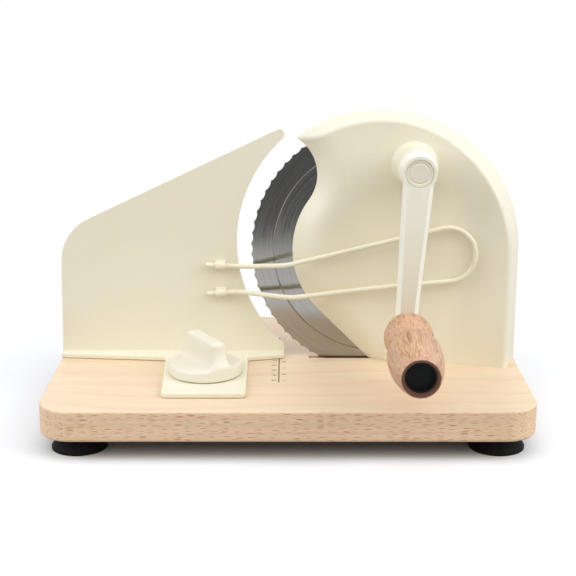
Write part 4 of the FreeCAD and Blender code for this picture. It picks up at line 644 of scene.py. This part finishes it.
def makeInk():
    # Pad-printed ink, slightly worn: brown-black with the wood's pores showing through.
    material, tree, shader, place = newMaterial("inkPadPrinted", {"Roughness": 0.6})
    wearMap = addNode(tree, "Mapping", {"Scale": perMetre(printedScale["wearMm"])},
                      {"Vector": place})
    wear = addNode(tree, "TexNoise", {"Scale": 1.0, "Detail": 3.0}, {"Vector": wearMap.outputs[0]})
    share = addNode(tree, "MapRange", {"From Min": 0.55, "From Max": 0.75, "To Max": 0.6},
                    {"Value": wear.outputs["Fac"]})
    tone = addNode(tree, "Mix", {
        "data_type": "RGBA", 6: printedScale["ink"], 7: printedScale["inkWorn"],
    }, {0: share.outputs[0]})
    tree.links.new(tone.outputs[2], shader.inputs["Base Color"])
    bump = addNode(tree, "Bump", {"Strength": 0.1, "Distance": 0.1 * mm},
                   {"Height": wear.outputs["Fac"]})
    tree.links.new(bump.outputs[0], shader.inputs["Normal"])
    return material


def addBar(bm, middle, size, turn=0.0):
    # a flat bar by its middle and its size, both x, y and z in mm, turned about z
    turned = Matrix.Translation(Vector(middle) * mm) @ Matrix.Rotation(turn, 4, "Z")
    stretched = Matrix.Diagonal([length * mm for length in size] + [1])
    bmesh.ops.create_cube(bm, size=1, matrix=turned @ stretched)


# digits as strokes on a grid 2 wide and 4 high
digitStrokes = {
    "0": [(0, 0, 2, 0), (2, 0, 2, 4), (2, 4, 0, 4), (0, 4, 0, 0)],
    "1": [(1, 0, 1, 4), (0, 3, 1, 4), (0, 0, 2, 0)],
    "2": [(0, 4, 2, 4), (2, 4, 2, 2), (2, 2, 0, 2), (0, 2, 0, 0), (0, 0, 2, 0)],
    "3": [(0, 4, 2, 4), (2, 4, 2, 0), (2, 0, 0, 0), (0.6, 2, 2, 2)],
    "4": [(0, 4, 0, 2), (0, 2, 2, 2), (2, 4, 2, 0)],
    "5": [(2, 4, 0, 4), (0, 4, 0, 2), (0, 2, 2, 2), (2, 2, 2, 0), (2, 0, 0, 0)],
}


def addDigits(bm, text, x, y, z, high, thick):
    # text centred on x, its foot towards the front
    unit = high / 4
    space = 1.2 * unit
    pitch = 2 * unit + space
    startX = x - (len(text) * pitch - space) / 2
    for place, digit in enumerate(text):
        for fromX, fromY, toX, toY in digitStrokes[digit]:
            first = Vector((startX + place * pitch + fromX * unit, y + fromY * unit, 0))
            second = Vector((startX + place * pitch + toX * unit, y + toY * unit, 0))
            along = second - first
            middle = (first + second) / 2 + Vector((0, 0, z + thick / 2))
            size = (along.length + unit * 0.5, unit * 0.6, thick)
            addBar(bm, middle, size, math.atan2(along.y, along.x))


def makePrintedScale():
    given = printedScale
    thick = given["inkThick"]
    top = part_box("base_board")[1].z / mm
    inkZ = top + thick / 2
    bm = bmesh.new()
    addBar(bm, (given["lineX"], (given["frontY"] + given["backY"]) / 2, inkZ),
           (given["lineWidth"], given["backY"] - given["frontY"], thick))
    addBar(bm, (given["lineX"] + given["gap"] + given["topTickX"],
                given["backY"] - given["topTickY"], inkZ),
           (given["tickLong"], given["tickThick"], thick))
    for side, step in ((-1, given["leftStep"]), (1, given["rightStep"])):
        x = given["lineX"] + side * (given["gap"] + given["tickLong"] / 2)
        count = 1
        y = given["zeroY"] - step
        while y > given["frontY"] - 0.5:
            if side < 0:
                foot = y - given["digitHigh"] / 2
                addDigits(bm, str(count * 10), x, foot, top, given["digitHigh"], thick)
            else:
                bold = given["tickBold"] if count % 2 else 1.0
                addBar(bm, (x, y, inkZ),
                       (given["tickLong"] * bold, given["tickThick"] * bold, thick))
            count += 1
            y -= step
    bmesh.ops.recalc_face_normals(bm, faces=bm.faces)
    mesh = bpy.data.meshes.new("scalePrint")
    bm.to_mesh(mesh)
    bm.free()
    addObject("scalePrint", mesh, makeInk(), "stand")


makePrintedScale()
print("scale printed")


# lengths in metres
studio = {
    "worldStrength": 0.44,
    "floorSize": 8,
    "floorBounce": "#9c9c9c",
    "shadowReach": (0.13, 0.26),         # from the middle, where the shadow fades into white
    "shadowStretch": (0.75, 1.0, 1.0),   # under 1 makes that reach longer along its axis
    "paperTone": 0.95,
    "paintedShadowTone": 0.42,                    # painted shadow: the paper's tone under the board
    "paintedShadowMiddle": (0, 0.0197, 0),
    "paintedShadowX": (0.155, 0.12),              # from the middle, where it starts and where it is full
    "paintedShadowY": (0.111, 0.065),
}
softboxes = {
    "softboxTop": {
        "place": (0.05, -0.1, 1.25), "target": (0, 0, 0), "size": (1.4, 1.1),
        "power": 4.8, "colour": "#dfecff",
    },
    "softboxFront": {
        "place": (0.25, -1.2, 1.05), "target": (0.05, 0, 0.2), "size": (2.0, 1.1),
        "power": 6.0, "colour": "#fef4e4",
    },
    "softboxRear": {
        "place": (0, 1.4, 0.9), "target": (0, 0, 0.1), "size": (1.6, 0.9),
        "power": 2.5, "colour": "#f6f9ff",
    },
    "softboxLeft": {
        "place": (-1.15, -0.42, 0.8), "target": (0, 0, 0.15), "size": (0.9, 0.9),
        "power": 9.2, "colour": "#f6f9ff",
    },
    "softboxRight": {
        "place": (1.15, -0.42, 0.8), "target": (0, 0, 0.15), "size": (0.9, 0.9),
        "power": 10.8, "colour": "#f6f9ff",
    },
}
darkCard = {"place": (0, -0.4, 0.16), "size": (0.45, 0.3), "grey": 0.17}
view = {
    "place": (0.00003, -0.79363, 0.30462),
    "pitch": 0.2677303,                  # radians below level
    "lens": 79.244,
    "sensor": 36,
}


def seenRays(tree):
    # rays that show the background: from the camera, off a gloss or through glass
    rays = addNode(tree, "LightPath")
    direct = addNode(tree, "Math", {"operation": "MAXIMUM"},
                     {0: rays.outputs["Is Camera Ray"], 1: rays.outputs["Is Glossy Ray"]})
    return addNode(tree, "Math", {"operation": "MAXIMUM"},
                   {0: direct.outputs[0], 1: rays.outputs["Is Transmission Ray"]})


def makeFloor():
    # pure white to the camera, and it still takes the shadow near the object, with a painted shadow
    # under the board
    bpy.ops.mesh.primitive_plane_add(size=studio["floorSize"], location=(0, 0, 0))
    floor = bpy.context.object
    floor.name = "floor"
    material = bpy.data.materials.new("paperWhitePaintedShadow")
    tree = emptyTree(material)
    place = addNode(tree, "TexCoord").outputs["Object"]
    # painted shadow: the paper is painted a deeper tone under the board, from about its outline
    # inwards
    fromMiddle = addNode(tree, "VectorMath", {"operation": "SUBTRACT", 1: studio["paintedShadowMiddle"]},
                         {0: place})
    apart = addNode(tree, "VectorMath", {"operation": "ABSOLUTE"}, {0: fromMiddle.outputs[0]})
    parts = addNode(tree, "SeparateXYZ", {}, {0: apart.outputs[0]})
    sideways, lengthways = [addNode(tree, "MapRange", {
        "From Min": edge, "From Max": core, "interpolation_type": "SMOOTHSTEP",
    }, {"Value": parts.outputs[axis]}) for axis, (edge, core) in (
        ("X", studio["paintedShadowX"]), ("Y", studio["paintedShadowY"]))]
    paintedShadowShare = addNode(tree, "Math", {"operation": "MULTIPLY"},
                      {0: sideways.outputs[0], 1: lengthways.outputs[0]})
    keep = addNode(tree, "MapRange", {"To Min": studio["paperTone"], "To Max": studio["paintedShadowTone"]},
                   {"Value": paintedShadowShare.outputs[0]})
    tone = addNode(tree, "CombineColor", {}, {channel: keep.outputs[0] for channel in range(3)})
    near = addNode(tree, "BsdfDiffuse", {}, {"Color": tone.outputs[0]})
    white = addNode(tree, "Emission", {"Color": (1, 1, 1, 1), "Strength": 1.0})
    stretched = addNode(tree, "VectorMath", {
        "operation": "MULTIPLY", 1: studio["shadowStretch"],
    }, {0: place})
    away = addNode(tree, "VectorMath", {"operation": "LENGTH"}, {0: stretched.outputs[0]})
    start, end = studio["shadowReach"]
    far = addNode(tree, "MapRange", {
        "From Min": start, "From Max": end, "interpolation_type": "SMOOTHSTEP",
    }, {"Value": away.outputs["Value"]})
    shown = addNode(tree, "MixShader", {},
                    {0: far.outputs[0], 1: near.outputs[0], 2: white.outputs[0]})
    seen = seenRays(tree)
    # a darker bounce than the eye sees, so the underside of the board stays deep
    bounce = addNode(tree, "BsdfDiffuse", {"Color": studio["floorBounce"]})
    mix = addNode(tree, "MixShader", {},
                  {0: seen.outputs[0], 1: bounce.outputs[0], 2: shown.outputs[0]})
    addNode(tree, "OutputMaterial", {}, {"Surface": mix.outputs[0]})
    floor.data.materials.append(material)


def makeWorld():
    # white where it is seen, and a weaker light on everything else
    world = bpy.data.worlds.new("studio")
    bpy.context.scene.world = world
    tree = emptyTree(world)
    strength = addNode(tree, "MapRange", {"To Min": studio["worldStrength"], "To Max": 1.0},
                       {"Value": seenRays(tree).outputs[0]})
    background = addNode(tree, "Background", {"Color": (1, 1, 1, 1)},
                         {"Strength": strength.outputs[0]})
    addNode(tree, "OutputWorld", {}, {"Surface": background.outputs[0]})


def addSoftbox(name, place, target, size, power, colour):
    lamp = bpy.data.lights.new(name, "AREA")
    lamp.shape = "RECTANGLE"
    lamp.size, lamp.size_y = size
    lamp.energy = power
    lamp.color = linearColour(colour)[:3]
    thing = bpy.data.objects.new(name, lamp)
    bpy.context.scene.collection.objects.link(thing)
    thing.location = place
    thing.rotation_euler = (Vector(target) - Vector(place)).to_track_quat("-Z", "Y").to_euler()


def makeDarkCard():
    # a grey card in front, seen only by glossy surfaces: it darkens the upper blade
    bpy.ops.mesh.primitive_plane_add(size=1, location=darkCard["place"],
                                     rotation=(math.pi / 2, 0, 0))
    card = bpy.context.object
    card.name = "flagDark"
    card.scale = (*darkCard["size"], 1)
    material = bpy.data.materials.new("cardGrey")
    tree = emptyTree(material)
    glow = addNode(tree, "Emission", {"Color": (1, 1, 1, 1), "Strength": darkCard["grey"]})
    addNode(tree, "OutputMaterial", {}, {"Surface": glow.outputs[0]})
    card.data.materials.append(material)
    card.visible_camera = False
    card.visible_diffuse = False
    card.visible_shadow = False
    card.visible_transmission = False


def makeCamera():
    camera = bpy.data.cameras.new("camera")
    camera.lens = view["lens"]
    camera.sensor_width = view["sensor"]
    camera.clip_start = 10 * mm
    thing = bpy.data.objects.new("camera", camera)
    thing.location = view["place"]
    thing.rotation_euler = (math.pi / 2 - view["pitch"], 0, 0)
    bpy.context.scene.collection.objects.link(thing)
    bpy.context.scene.camera = thing
    bpy.context.scene.view_settings.view_transform = "Standard"


makeFloor()
makeWorld()
for name, softbox in softboxes.items():
    addSoftbox(name, **softbox)
makeDarkCard()
makeCamera()
print("studio set")

bpy.context.view_layer.update()
